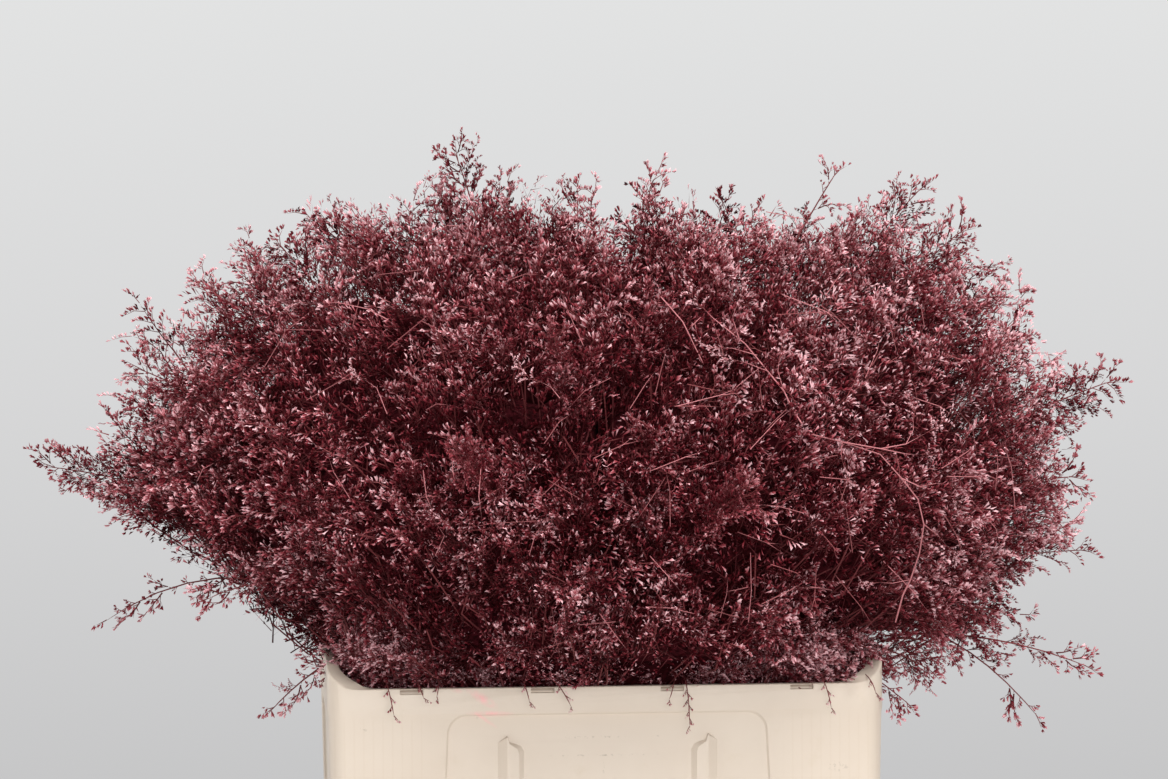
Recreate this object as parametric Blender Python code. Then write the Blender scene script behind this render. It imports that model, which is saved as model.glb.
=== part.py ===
"""Dried statice: twelve tied bunches of dyed sea lavender that stand dry in a moulded flower crate.

Metres, +Z up. The origin is on the ground under the middle of the crate. X runs along the crate's
long side and -Y is its front. Each bunch is one grown body: bare stems through an elastic band, a
head that widens above the rim, florets that stand out of the head, and sprays that reach past them.
"""

import math
import random
from collections import namedtuple

import bmesh
import bpy
from mathutils import Matrix, Vector, geometry, noise

# Crate: outside size at the rim of the long sides, and the walls
CRATE_LENGTH = 0.400
CRATE_WIDTH = 0.300
CRATE_HEIGHT = 0.310
END_RISE = 0.018  # the short sides stand this much higher than the long ones
DRAFT = 0.006  # each wall leans in by this much from the rim to the foot
WALL = 0.0035
FLOOR = 0.004
CORNER_RADIUS = 0.012
FOOT_CHAMFER = 0.003

# Rim: a band that stands proud of the wall, and a lip that is wider than the wall
BAND_HEIGHT = 0.018
BAND_PROUD = 0.0006
LIP_WIDTH = 0.009
LIP_ROUND = 0.0022
LIP_DEPTH = 0.016  # below this the lip has thinned to the wall
MOUTH_RADIUS = 0.022
CORNER_STEPS = 6
RISE_RUN = 0.009  # spacing of the two points on a long side where the rim starts to rise
RISE_SHARES = (0.0, 0.12, 0.36, 0.56, 0.75, 0.90, 0.98, 1.0, 1.0)  # from a long side round to a short one

# Rim notches, sunk panels and the two ribs that hold a card on each long side
NOTCH_CENTRES = (-0.140, -0.0465, 0.0465, 0.140)
NOTCH_SIZE = (0.0167, 0.0022, 0.0034)
PANEL_SINK = 0.0018
PANEL_TOP = CRATE_HEIGHT - 0.019
PANEL_FOOT = 0.035
PANEL_CORNER = 0.014
LONG_PANEL_WIDTHS = (0.230, 0.252)  # at the top and at the foot
SHORT_PANEL_WIDTHS = (0.160, 0.176)
RIB_INNER, RIB_OUTER = 0.0613, 0.0820
RIB_TOP = CRATE_HEIGHT - 0.036
RIB_FOOT = CRATE_HEIGHT - 0.190
RIB_HEIGHT = 0.0042
RIB_SLOPE = 0.0058
RIB_ROOT = 0.001  # how far a rib is sunk in the panel
CUTTER_REACH = 0.02  # how far a cutter stands out of what it cuts

# Heads: the dense mass is a surface round HEAD_CENTRE, given by its reach at each angle from upright
HEAD_CENTRE = Vector((0.0, 0.0, CRATE_HEIGHT + 0.020))
RIGHT_REACH = (
    (0, 0.334), (18, 0.350), (27, 0.354), (36, 0.400), (45, 0.416),
    (58, 0.416), (66, 0.402), (73, 0.380), (80, 0.346), (90, 0.300),
)
LEFT_REACH = (
    (0, 0.334), (15, 0.362), (26, 0.364), (34, 0.390), (48, 0.390),
    (62, 0.394), (72, 0.398), (77, 0.338), (83, 0.272), (90, 0.222),
)
FRONT_REACH = ((0, 0.334), (20, 0.335), (40, 0.325), (55, 0.310), (68, 0.285), (79, 0.240), (90, 0.195))
RING_EDGE = math.radians(36)  # the two middle bunches fill the cap inside this angle
HEAD_EDGE = math.radians(88)
MEAN_REACH = 0.340  # turns a spacing on the surface into an angle
SIDE_GRID = 0.0350  # spacing of the points along a seam
GRID = 0.0270  # spacing of the points that florets grow between
GRID_LOOSE = 0.22  # how far each point strays, as a share of the spacing
EDGE_ROOM = 0.55
VALLEY_DEPTH = 0.050
EDGE_VALLEY_DEPTH = 0.028  # near the rim the florets are shorter
VALLEY_FADE = (math.radians(70), math.radians(88))
BILLOWS = ((0.025, 3.6, (4.1, 0.3, 7.7)), (0.017, 9.0, (1.7, 5.2, 2.9)))  # height, pitch and seed
FLORET_RAGGED = (-0.025, 0.015)
TIP_SHARES = (0.16, 1.0)  # a floret's tip is drawn between its triangle's corners with these
GAP = 0.0026  # between neighbouring heads
RING_GAP = 0.0044  # between the two middle heads and the rest
SEAM_SWAY = 3.2  # in degrees
SWAY_FADE = 0.32  # a seam runs straight at the top of the head and at its edge
RING_SWAY = math.radians(2.6)
COLLAR_HALF = (0.168, 0.118)  # the heads' half width where they pass the rim
COLLAR_LIFT = 0.008
COLLAR_RISE_FROM = 0.10  # the collar climbs over the crate's short sides from here outwards
COLLAR_RISE_RUN = 0.06
COLLAR_SQUARE = 2.6  # 2 makes the collar an ellipse, more makes it squarer
COLLAR_SPLIT = 0.42  # share of the collar that the middle bunches fill
SPLIT_GAP = 0.028
NECK_DROP = 0.085  # the heads start this far below the rim
NECK_RADIUS = 0.016

# Stems and elastic bands
STEMS = 6
STEM_RADIUS = 0.0018
STEM_GAP = 0.0003  # the cut ends stand this close to the crate's floor
FOOT_SPREAD = 0.0135
WAIST_SPREAD = 0.0090
NECK_SPREAD = 0.0115
STEM_SINK = 0.012  # how far the stems go up into the head
WAIST_HEIGHT = 0.118
BAND_THICK = 0.0012
ELASTIC_HEIGHT = 0.006
ELASTIC_GAP = 0.00045

# Sprays
SPRAY_SEGMENTS = 6
SPRAY_ROOT_RADIUS = 0.0026
SPRAY_TIP_RADIUS = 0.0011
SPIKE_LEAN = math.radians(48)
SPIKE_VARIES = (0.75, 1.25)
LEAD_SHARE = 0.55  # how far a spray runs straight out before it bends to its tip
ROOT_SINK = 0.035
BARE_SHARE = 0.28  # share of a spray's sides that bear no florets
SIDE_ROOM = 0.004
ROOT_TURN = math.radians(9)
ROOT_INSET = math.radians(7)
CRUMB_CORNERS = 9

Bunch = namedtuple("Bunch", "number foot start end inner outer")
# Foot of each bunch on the crate's floor, and the sector of azimuth that its head fills
OUTER_BUNCHES = (
    ((0.135, 0.000), -20, 20),
    ((0.135, 0.088), 20, 50),
    ((0.045, 0.088), 50, 90),
    ((-0.045, 0.088), 90, 130),
    ((-0.135, 0.088), 130, 160),
    ((-0.135, 0.000), 160, 200),
    ((-0.135, -0.088), 200, 230),
    ((-0.045, -0.088), 230, 270),
    ((0.045, -0.088), 270, 310),
    ((0.135, -0.088), 310, 340),
)
INNER_BUNCHES = (((0.045, 0.0), -90, 90), ((-0.045, 0.0), 90, 270))

# Long sprays: where each tip is, in metres from the crate's middle and up from its rim
LONG_SPRAYS = (
    (-0.106, -0.030, 0.403, 0.018),
    (-0.003, 0.040, 0.374, 0.014),
    (0.195, -0.050, 0.376, 0.018),
    (0.141, 0.060, 0.357, 0.013),
    (0.268, 0.030, 0.371, 0.021),
    (0.300, -0.040, 0.340, 0.016),
    (-0.200, 0.040, 0.346, 0.018),
    (0.415, -0.010, 0.213, 0.020),
    (0.394, -0.115, 0.136, 0.017),
    (0.400, 0.020, 0.080, 0.018),
    (0.385, -0.120, -0.012, 0.018),
    (0.330, -0.060, -0.050, 0.016),
    (0.250, -0.150, -0.040, 0.013),
    (-0.424, 0.010, 0.156, 0.020),
    (-0.350, 0.110, 0.207, 0.018),
    (-0.372, -0.020, 0.036, 0.013),
    (-0.288, -0.150, 0.034, 0.014),
    (-0.243, -0.100, -0.026, 0.015),
    (-0.340, -0.110, 0.232, 0.018),
    (0.053, -0.196, -0.024, 0.010),
    (-0.150, -0.190, -0.014, 0.010),
    (0.128, -0.197, -0.012, 0.009),
    (0.090, -0.290, 0.140, 0.018),
    (-0.120, -0.288, 0.170, 0.018),
    (-0.045, -0.252, 0.255, 0.018),
    (0.120, 0.285, 0.160, 0.018),
    (-0.110, 0.290, 0.140, 0.018),
    (0.050, 0.258, 0.250, 0.018),
    (-0.050, 0.243, 0.030, 0.014),
)
LOOSE_SPRAYS = 2  # more sprays on each head, set by the seeded draw
LOOSE_REACH = (0.028, 0.050)
LOOSE_SPIKE = 0.016
LOOSE_POLAR = (0.3, 0.85)  # where on its head each one stands, from its inner to its outer edge


def clear_scene():
    for thing in list(bpy.data.objects):
        bpy.data.objects.remove(thing)


def material(name, colour, roughness, metallic=0.0):
    made = bpy.data.materials.new(name)
    made.use_nodes = True
    shader = made.node_tree.nodes["Principled BSDF"]
    shader.inputs["Base Color"].default_value = (*colour, 1.0)
    shader.inputs["Roughness"].default_value = roughness
    shader.inputs["Metallic"].default_value = metallic
    return made


def mesh_object(name, points, faces, finish=None):
    """A closed mesh object with its faces pointing out."""
    mesh = bpy.data.meshes.new(name)
    mesh.from_pydata([tuple(p) for p in points], [], faces)
    mesh.validate()
    shape = bmesh.new()
    shape.from_mesh(mesh)
    bmesh.ops.recalc_face_normals(shape, faces=shape.faces)
    shape.to_mesh(mesh)
    shape.free()
    if finish:
        mesh.materials.append(finish)
    made = bpy.data.objects.new(name, mesh)
    bpy.context.scene.collection.objects.link(made)
    return made


def combine(body, others, operation, solver):
    """Joins or cuts body by the other objects in one Boolean, applies it and removes them."""
    group = bpy.data.collections.new(body.name + "_group")
    bpy.context.scene.collection.children.link(group)
    for other in others:
        bpy.context.scene.collection.objects.unlink(other)
        group.objects.link(other)
    modifier = body.modifiers.new(operation.lower(), "BOOLEAN")
    modifier.operand_type = "COLLECTION"
    modifier.collection = group
    modifier.operation = operation
    modifier.solver = solver
    bpy.context.view_layer.update()
    graph = bpy.context.evaluated_depsgraph_get()
    joined = bpy.data.meshes.new_from_object(body.evaluated_get(graph))
    body.modifiers.clear()
    body.data = joined
    for other in others:
        bpy.data.objects.remove(other)
    bpy.data.collections.remove(group)
    drop_crumbs(body)


def drop_crumbs(body):
    """Removes loose flakes that a Boolean can leave where two faces nearly touch."""
    shape = bmesh.new()
    shape.from_mesh(body.data)
    left = set(shape.verts)
    while left:
        front = [left.pop()]
        island = set(front)
        while front:
            corner = front.pop()
            near = {edge.other_vert(corner) for edge in corner.link_edges} - island
            island |= near
            left -= near
            front += near
        if len(island) < CRUMB_CORNERS:
            bmesh.ops.delete(shape, geom=list(island), context="VERTS")
    shape.to_mesh(body.data)
    shape.free()


# The crate


def rim_loop(half_length, half_width, radius, height, rise):
    """A rounded rectangle of points at one height, lifted by rise times each point's share."""
    points = []
    long_run = (0.0, RISE_RUN)
    for corner in range(4):
        start = corner * math.pi / 2
        sign_x = 1 if corner in (0, 3) else -1
        sign_y = 1 if corner in (0, 1) else -1
        centre = (sign_x * (half_length - radius), sign_y * (half_width - radius))
        arc = []
        for step in range(CORNER_STEPS + 1):
            angle = start + step * math.pi / 2 / CORNER_STEPS
            arc.append((centre[0] + radius * math.cos(angle), centre[1] + radius * math.sin(angle)))
        ends_long = corner in (0, 2)
        side = sign_y * half_width
        run = [(centre[0] - sign_x * (RISE_RUN + far), side) for far in long_run]
        if ends_long:
            flat = arc + run
            shares = RISE_SHARES[::-1]
        else:
            flat = run[::-1] + arc
            shares = RISE_SHARES
        points += [Vector((x, y, height + rise * share)) for (x, y), share in zip(flat, shares)]
    return points


def lofted(loops):
    """Faces that join each loop of points to the next, with the first and last loop closed."""
    count = len(loops[0])
    faces = [list(range(count))[::-1]]
    for level in range(len(loops) - 1):
        low, high = level * count, (level + 1) * count
        for i in range(count):
            after = (i + 1) % count
            faces.append([low + i, low + after, high + after, high + i])
    last = (len(loops) - 1) * count
    faces.append([last + i for i in range(count)])
    return [p for loop in loops for p in loop], faces


def wall_inset(height):
    """How far the outside of a wall lies inside the rim's outline at this height."""
    return BAND_PROUD + DRAFT * (1 - height / (CRATE_HEIGHT - BAND_HEIGHT))


def crate_shell(finish):
    def loop(inset, radius, height, rise=0.0):
        return rim_loop(CRATE_LENGTH / 2 - inset, CRATE_WIDTH / 2 - inset, radius, height, rise)

    top = CRATE_HEIGHT
    under_band = top - BAND_HEIGHT
    inside = WALL + BAND_PROUD
    floor_inset = wall_inset(FLOOR) + WALL
    loops = [
        loop(wall_inset(0) + FOOT_CHAMFER, CORNER_RADIUS, 0.0),
        loop(wall_inset(FOOT_CHAMFER), CORNER_RADIUS, FOOT_CHAMFER),
        loop(BAND_PROUD, CORNER_RADIUS, under_band - BAND_PROUD),
        loop(0.0, CORNER_RADIUS, under_band),
        loop(0.0, CORNER_RADIUS, top - LIP_ROUND, END_RISE),
        loop(LIP_ROUND, CORNER_RADIUS, top, END_RISE),
        loop(LIP_WIDTH - LIP_ROUND, MOUTH_RADIUS, top, END_RISE),
        loop(LIP_WIDTH, MOUTH_RADIUS, top - LIP_ROUND, END_RISE),
        loop(inside, MOUTH_RADIUS, top - LIP_DEPTH, END_RISE / 2),
        loop(floor_inset, CORNER_RADIUS, FLOOR + FOOT_CHAMFER),
        loop(floor_inset + FOOT_CHAMFER, CORNER_RADIUS, FLOOR),
    ]
    points, faces = lofted(loops)
    return mesh_object("crate", points, faces, finish)


def panel_outline(widths):
    """Points (across, height) of a panel that is wider at its foot, with round corners."""
    outline = []
    corners = (
        (widths[1] / 2, PANEL_FOOT, -90),
        (widths[0] / 2, PANEL_TOP, 0),
        (-widths[0] / 2, PANEL_TOP, 90),
        (-widths[1] / 2, PANEL_FOOT, 180),
    )
    for across, height, start in corners:
        side = math.copysign(1, across)
        rise = 1 if height == PANEL_FOOT else -1
        centre = (across - side * PANEL_CORNER, height + rise * PANEL_CORNER)
        for step in range(CORNER_STEPS + 1):
            angle = math.radians(start + 90 * step / CORNER_STEPS)
            x = centre[0] + PANEL_CORNER * math.cos(angle)
            z = centre[1] + PANEL_CORNER * math.sin(angle)
            outline.append((x, z))
    return outline


def panel_cutter(widths, half_depth, turn):
    """The block of air that sinks a panel into the wall at -Y, turned about Z to its side."""
    outer = [Vector((x, -half_depth - CUTTER_REACH, z)) for x, z in panel_outline(widths)]
    sunk = [Vector((x, -half_depth + wall_inset(z) + PANEL_SINK, z)) for x, z in panel_outline(widths)]
    points, faces = lofted([outer, sunk])
    spin = Matrix.Rotation(turn, 3, "Z")
    return mesh_object("panel", [spin @ p for p in points], faces)


def rib(side, turn):
    """One of the two ribs that a card slides behind, on the panel at -Y."""
    surface = -CRATE_WIDTH / 2 + PANEL_SINK
    base = [
        (RIB_INNER, RIB_FOOT),
        (RIB_OUTER, RIB_FOOT),
        (RIB_OUTER, RIB_TOP),
        (RIB_INNER, RIB_TOP - RIB_SLOPE),
    ]
    crest = [
        (RIB_INNER + RIB_SLOPE, RIB_FOOT + RIB_SLOPE),
        (RIB_OUTER - RIB_SLOPE, RIB_FOOT + RIB_SLOPE),
        (RIB_OUTER - RIB_SLOPE, RIB_TOP - RIB_SLOPE),
        (RIB_INNER + RIB_SLOPE, RIB_TOP - RIB_SLOPE * 2),
    ]
    sunk = [Vector((side * x, surface + wall_inset(z) + RIB_ROOT, z)) for x, z in base]
    proud = [Vector((side * x, surface + wall_inset(z) - RIB_HEIGHT, z)) for x, z in crest]
    points, faces = lofted([sunk, proud])
    spin = Matrix.Rotation(turn, 3, "Z")
    return mesh_object("rib", [spin @ p for p in points], faces)


def notch_cutter(centre, side):
    """A small slot in the outer edge of a long side's rim."""
    width, depth, height = NOTCH_SIZE
    outside = side * (CRATE_WIDTH / 2 + CUTTER_REACH)
    inside = side * (CRATE_WIDTH / 2 - depth)
    low, high = CRATE_HEIGHT - height, CRATE_HEIGHT + CUTTER_REACH
    loops = [
        [Vector((centre + x, y, z)) for x, y in ((-width / 2, outside), (width / 2, outside),
                                                 (width / 2, inside), (-width / 2, inside))]
        for z in (low, high)
    ]
    points, faces = lofted(loops)
    return mesh_object("notch", points, faces)


def crate(finish):
    body = crate_shell(finish)
    cutters = [
        panel_cutter(LONG_PANEL_WIDTHS, CRATE_WIDTH / 2, 0.0),
        panel_cutter(LONG_PANEL_WIDTHS, CRATE_WIDTH / 2, math.pi),
        panel_cutter(SHORT_PANEL_WIDTHS, CRATE_LENGTH / 2, math.pi / 2),
        panel_cutter(SHORT_PANEL_WIDTHS, CRATE_LENGTH / 2, -math.pi / 2),
    ]
    cutters += [notch_cutter(centre, side) for centre in NOTCH_CENTRES for side in (-1, 1)]
    combine(body, cutters, "DIFFERENCE", "EXACT")
    ribs = [rib(side, turn) for side in (-1, 1) for turn in (0.0, math.pi)]
    combine(body, ribs, "UNION", "EXACT")
    body.data.set_sharp_from_angle(angle=math.radians(25))
    return body


# The heads' surface


def read_reach(table, degrees):
    """The reach at an angle, in straight steps between the table's pairs."""
    for (low, near), (high, far) in zip(table, table[1:]):
        if degrees <= high:
            return near + (far - near) * (degrees - low) / (high - low)
    return table[-1][1]


def direction(polar, azimuth):
    """The unit vector at an angle from upright and an azimuth."""
    out = math.sin(polar)
    return Vector((out * math.cos(azimuth), out * math.sin(azimuth), math.cos(polar)))


def reach(way):
    """Distance from HEAD_CENTRE to the outside of the dense mass along a unit vector."""
    polar = math.degrees(math.acos(max(-1.0, min(1.0, way.z))))
    side = read_reach(RIGHT_REACH if way.x > 0 else LEFT_REACH, polar)
    front = read_reach(FRONT_REACH, polar)
    azimuth = math.atan2(way.y, way.x)
    return 1 / math.hypot(math.cos(azimuth) / side, math.sin(azimuth) / front)


def valley(way):
    """The surface that florets stand on: lower than the mass's outside, with billows."""
    billows = sum(height * noise.noise(way * pitch + Vector(seed)) for height, pitch, seed in BILLOWS)
    low = smooth_step((math.acos(way.z) - VALLEY_FADE[0]) / (VALLEY_FADE[1] - VALLEY_FADE[0]))
    depth = VALLEY_DEPTH + (EDGE_VALLEY_DEPTH - VALLEY_DEPTH) * low
    return reach(way) - depth + (1 - low) * billows


def bunches():
    """All the bunches, the outer ones first."""
    made = []
    for places, inner, outer in ((OUTER_BUNCHES, RING_EDGE, HEAD_EDGE), (INNER_BUNCHES, 0.0, RING_EDGE)):
        for foot, start, end in places:
            made.append(Bunch(len(made) + 1, foot, start, end, inner, outer))
    return made


# One point on a head's outline, and the share and azimuth of its place on the collar below
Edge = namedtuple("Edge", "polar azimuth shift collar seat")


def side_azimuth(degrees, polar):
    """Where the seam between two neighbours runs: it sways as it goes down."""
    phase = degrees % 360
    sway = math.sin(polar * 5.0 + phase * 0.7) + 0.6 * math.sin(polar * 11.0 + phase * 0.3)
    fade = smooth_step(polar / SWAY_FADE) * smooth_step((HEAD_EDGE - polar) / SWAY_FADE)
    return math.radians(degrees + SEAM_SWAY * sway * fade)


def ring_polar(azimuth):
    """Where the seam round the two middle bunches runs."""
    return RING_EDGE + RING_SWAY * (math.sin(2 * azimuth + 0.6) + 0.6 * math.sin(5 * azimuth))


def collar_reach(azimuth):
    """Distance from the axis to a rounded rectangle inside the crate's mouth."""
    x, y = abs(math.cos(azimuth)) / COLLAR_HALF[0], abs(math.sin(azimuth)) / COLLAR_HALF[1]
    return (x**COLLAR_SQUARE + y**COLLAR_SQUARE) ** (-1 / COLLAR_SQUARE)


def even_steps(start, end, pitch):
    count = max(2, round(abs(end - start) / pitch))
    return [start + (end - start) * i / count for i in range(count + 1)]


def outline(bunch):
    """The points round a head's outer face, in order."""
    pitch = SIDE_GRID / MEAN_REACH
    start, end = math.radians(bunch.start), math.radians(bunch.end)
    # A unit vector from each straight side into the head
    into_start = Vector((-math.sin(start), math.cos(start), 0)) * GAP / 2
    into_end = Vector((math.sin(end), -math.cos(end), 0)) * GAP / 2
    half_gap = RING_GAP / 2 / MEAN_REACH
    edges = []
    if bunch.inner:
        outer, near, far = bunch.outer, COLLAR_SPLIT + SPLIT_GAP, 1.0

        def straight(side, into):
            low = ring_polar(math.radians(side)) + half_gap
            made = []
            for polar in even_steps(low, outer, pitch):
                share = (polar - low) / (outer - low)
                collar = near + (far - near) * share
                made.append(Edge(polar, side_azimuth(side, polar), into, collar, math.radians(side)))
            return made

        edges += straight(bunch.start, into_start)
        for azimuth in even_steps(start, end, pitch / math.sin(outer))[1:-1]:
            edges.append(Edge(outer, azimuth, Vector(), far, azimuth))
        edges += straight(bunch.end, into_end)[::-1]
        for azimuth in even_steps(end, start, pitch / math.sin(RING_EDGE))[1:-1]:
            edges.append(Edge(ring_polar(azimuth) + half_gap, azimuth, Vector(), near, azimuth))
    else:
        far = COLLAR_SPLIT - SPLIT_GAP

        def straight(side, into):
            outer = ring_polar(math.radians(side)) - half_gap
            seat = math.radians(side)
            made = []
            for polar in even_steps(0.0, outer, pitch)[1:]:
                made.append(Edge(polar, side_azimuth(side, polar), into, far * polar / outer, seat))
            return made

        edges += straight(bunch.end, into_end)[::-1]
        edges.append(Edge(0.0, end, into_end, 0.0, end))
        edges += straight(bunch.start, into_start)
        for azimuth in even_steps(start, end, pitch / math.sin(RING_EDGE))[1:-1]:
            edges.append(Edge(ring_polar(azimuth) - half_gap, azimuth, Vector(), far, azimuth))
    return edges


def flat_of(polar, azimuth):
    """A direction as a point on a flat disc, as far from the middle as its angle from upright."""
    return Vector((polar * math.cos(azimuth), polar * math.sin(azimuth)))


def point_in_polygon(point, corners):
    found = False
    for a, b in zip(corners, corners[1:] + corners[:1]):
        if (a.y > point.y) != (b.y > point.y):
            across = a.x + (point.y - a.y) / (b.y - a.y) * (b.x - a.x)
            found ^= point.x < across
    return found


def clear_of(point, corners, room):
    for a, b in zip(corners, corners[1:] + corners[:1]):
        _, share = geometry.intersect_point_line(point, a, b)
        nearest = a.lerp(b, max(0.0, min(1.0, share)))
        if (nearest - point).length < room:
            return False
    return True


def scattered(corners, rng):
    """Points inside a flat outline, on a grid of triangles that a seeded draw loosens."""
    pitch = GRID / MEAN_REACH
    row_step = pitch * math.sqrt(3) / 2
    low_x, high_x = min(c.x for c in corners), max(c.x for c in corners)
    low_y, high_y = min(c.y for c in corners), max(c.y for c in corners)
    found = []
    for row in range(int((high_y - low_y) / row_step) + 2):
        for column in range(int((high_x - low_x) / pitch) + 2):
            x = low_x + (column + 0.5 * (row % 2) + rng.uniform(-GRID_LOOSE, GRID_LOOSE)) * pitch
            y = low_y + row * row_step + rng.uniform(-GRID_LOOSE, GRID_LOOSE) * pitch
            point = Vector((x, y))
            if point_in_polygon(point, corners) and clear_of(point, corners, pitch * EDGE_ROOM):
                found.append(point)
    return found


def head(bunch, rng):
    """The head's closed mesh: a face of florets, walls down to the collar, and walls down to the neck."""
    edges = outline(bunch)
    corners = [flat_of(e.polar, e.azimuth) for e in edges]
    inner_points = scattered(corners, rng)
    ring = [(i, (i + 1) % len(edges)) for i in range(len(edges))]
    flat = corners + inner_points
    placed, _, faces, _, _, _ = geometry.delaunay_2d_cdt(flat, ring, [list(range(len(edges)))], 1, 1e-6)
    if len(placed) != len(flat):
        raise ValueError("the head's outline crosses itself")
    points = []
    for i, spot in enumerate(placed):
        way = direction(spot.length, math.atan2(spot.y, spot.x))
        shift = edges[i].shift if i < len(edges) else Vector()
        points.append(HEAD_CENTRE + way * valley(way) + shift)
    made = []
    for a, b, c in faces:
        tip = floret_tip([points[a], points[b], points[c]], rng)
        points.append(tip)
        top = len(points) - 1
        made += [(a, b, top), (b, c, top), (c, a, top)]
    add_walls(bunch, edges, points, made)
    return mesh_object(f"bunch_{bunch.number:02d}", points, made)


def floret_tip(base, rng):
    """The point that a floret rises to, somewhere over its own triangle as seen from the centre."""
    shares = [rng.uniform(*TIP_SHARES) for _ in base]
    total = sum(shares)
    ways = [(p - HEAD_CENTRE).normalized() for p in base]
    way = Vector()
    for share, corner in zip(shares, ways):
        way += corner * (share / total)
    way.normalize()
    height = reach(way) + rng.uniform(*FLORET_RAGGED)
    return HEAD_CENTRE + way * height


def add_walls(bunch, edges, points, faces):
    """The walls under a head: from its outline to a collar at the crate's mouth, then to a round neck."""
    count = len(edges)
    collar_start = len(points)
    for edge in edges:
        across = collar_reach(edge.seat) * edge.collar
        flat = Vector((across * math.cos(edge.seat), across * math.sin(edge.seat), 0))
        rise = END_RISE * smooth_step((abs(flat.x) - COLLAR_RISE_FROM) / COLLAR_RISE_RUN)
        points.append(flat + edge.shift + Vector((0, 0, CRATE_HEIGHT + COLLAR_LIFT + rise)))
    collar = points[collar_start:]
    middle = sum(collar, Vector()) / count
    neck_start = len(points)
    foot = Vector((*bunch.foot, CRATE_HEIGHT - NECK_DROP))
    for spot in collar:
        around = math.atan2(spot.y - middle.y, spot.x - middle.x)
        points.append(foot + Vector((math.cos(around), math.sin(around), 0)) * NECK_RADIUS)
    for low, high in ((0, collar_start), (collar_start, neck_start)):
        for i in range(count):
            after = (i + 1) % count
            if edges[i].polar <= edges[after].polar:
                faces += [(low + i, high + i, high + after), (low + i, high + after, low + after)]
            else:
                faces += [(low + i, high + i, low + after), (high + i, high + after, low + after)]
    faces.append(tuple(neck_start + i for i in range(count)))


def smooth_step(value):
    value = max(0.0, min(1.0, value))
    return value * value * (3 - 2 * value)


# Stems, bands and sprays


def stems(bunch):
    foot = Vector((*bunch.foot, 0))
    heights = (FLOOR + STEM_GAP, WAIST_HEIGHT, CRATE_HEIGHT - NECK_DROP + STEM_SINK)
    spreads = (FOOT_SPREAD, WAIST_SPREAD, NECK_SPREAD)
    made = []
    for k in range(STEMS):
        angle = 2 * math.pi * k / STEMS
        out = Vector((math.cos(angle), math.sin(angle), 0))
        points = []
        for height, spread in zip(heights, spreads):
            centre = foot + out * spread + Vector((0, 0, height))
            for corner in range(3):
                turn = angle + 2 * math.pi * corner / 3
                points.append(centre + Vector((math.cos(turn), math.sin(turn), 0)) * STEM_RADIUS)
        loops = [points[i * 3:i * 3 + 3] for i in range(3)]
        made.append(mesh_object("stem", *lofted(loops)))
    return made


def elastic(bunch, finish):
    """The band round a bunch's stems: straight between them, so its outline is a hexagon."""
    foot = Vector((*bunch.foot, 0))
    inner = WAIST_SPREAD + STEM_RADIUS + ELASTIC_GAP
    outer = inner + BAND_THICK
    low, high = WAIST_HEIGHT - ELASTIC_HEIGHT / 2, WAIST_HEIGHT + ELASTIC_HEIGHT / 2
    rings = []
    for radius, height in ((inner, low), (outer, low), (outer, high), (inner, high)):
        ring = []
        for k in range(STEMS):
            angle = 2 * math.pi * k / STEMS
            ring.append(foot + Vector((radius * math.cos(angle), radius * math.sin(angle), height)))
        rings.append(ring)
    faces = []
    for level in range(4):
        near, far = level * STEMS, (level + 1) % 4 * STEMS
        for i in range(STEMS):
            after = (i + 1) % STEMS
            faces.append((near + i, near + after, far + after, far + i))
    return mesh_object(f"band_{bunch.number:02d}", [p for ring in rings for p in ring], faces, finish)


def fits(bunch, spot):
    """Whether a spot keeps clear of the heads round this one."""
    away = spot - HEAD_CENTRE
    way = away.normalized()
    if away.length > reach(way) + FLORET_RAGGED[1]:
        return True
    polar = way.angle(Vector((0, 0, 1)))
    azimuth = math.atan2(away.y, away.x)
    beyond_ring = (polar - ring_polar(azimuth)) * (1 if bunch.inner else -1)
    if beyond_ring * away.length < SIDE_ROOM:
        return False
    for side, inward in ((bunch.start, 1), (bunch.end, -1)):
        turn = (azimuth - side_azimuth(side, polar) + math.pi) % (2 * math.pi) - math.pi
        if abs(turn) < math.pi / 2 and turn * inward * math.hypot(away.x, away.y) < SIDE_ROOM:
            return False
    return True


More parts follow.
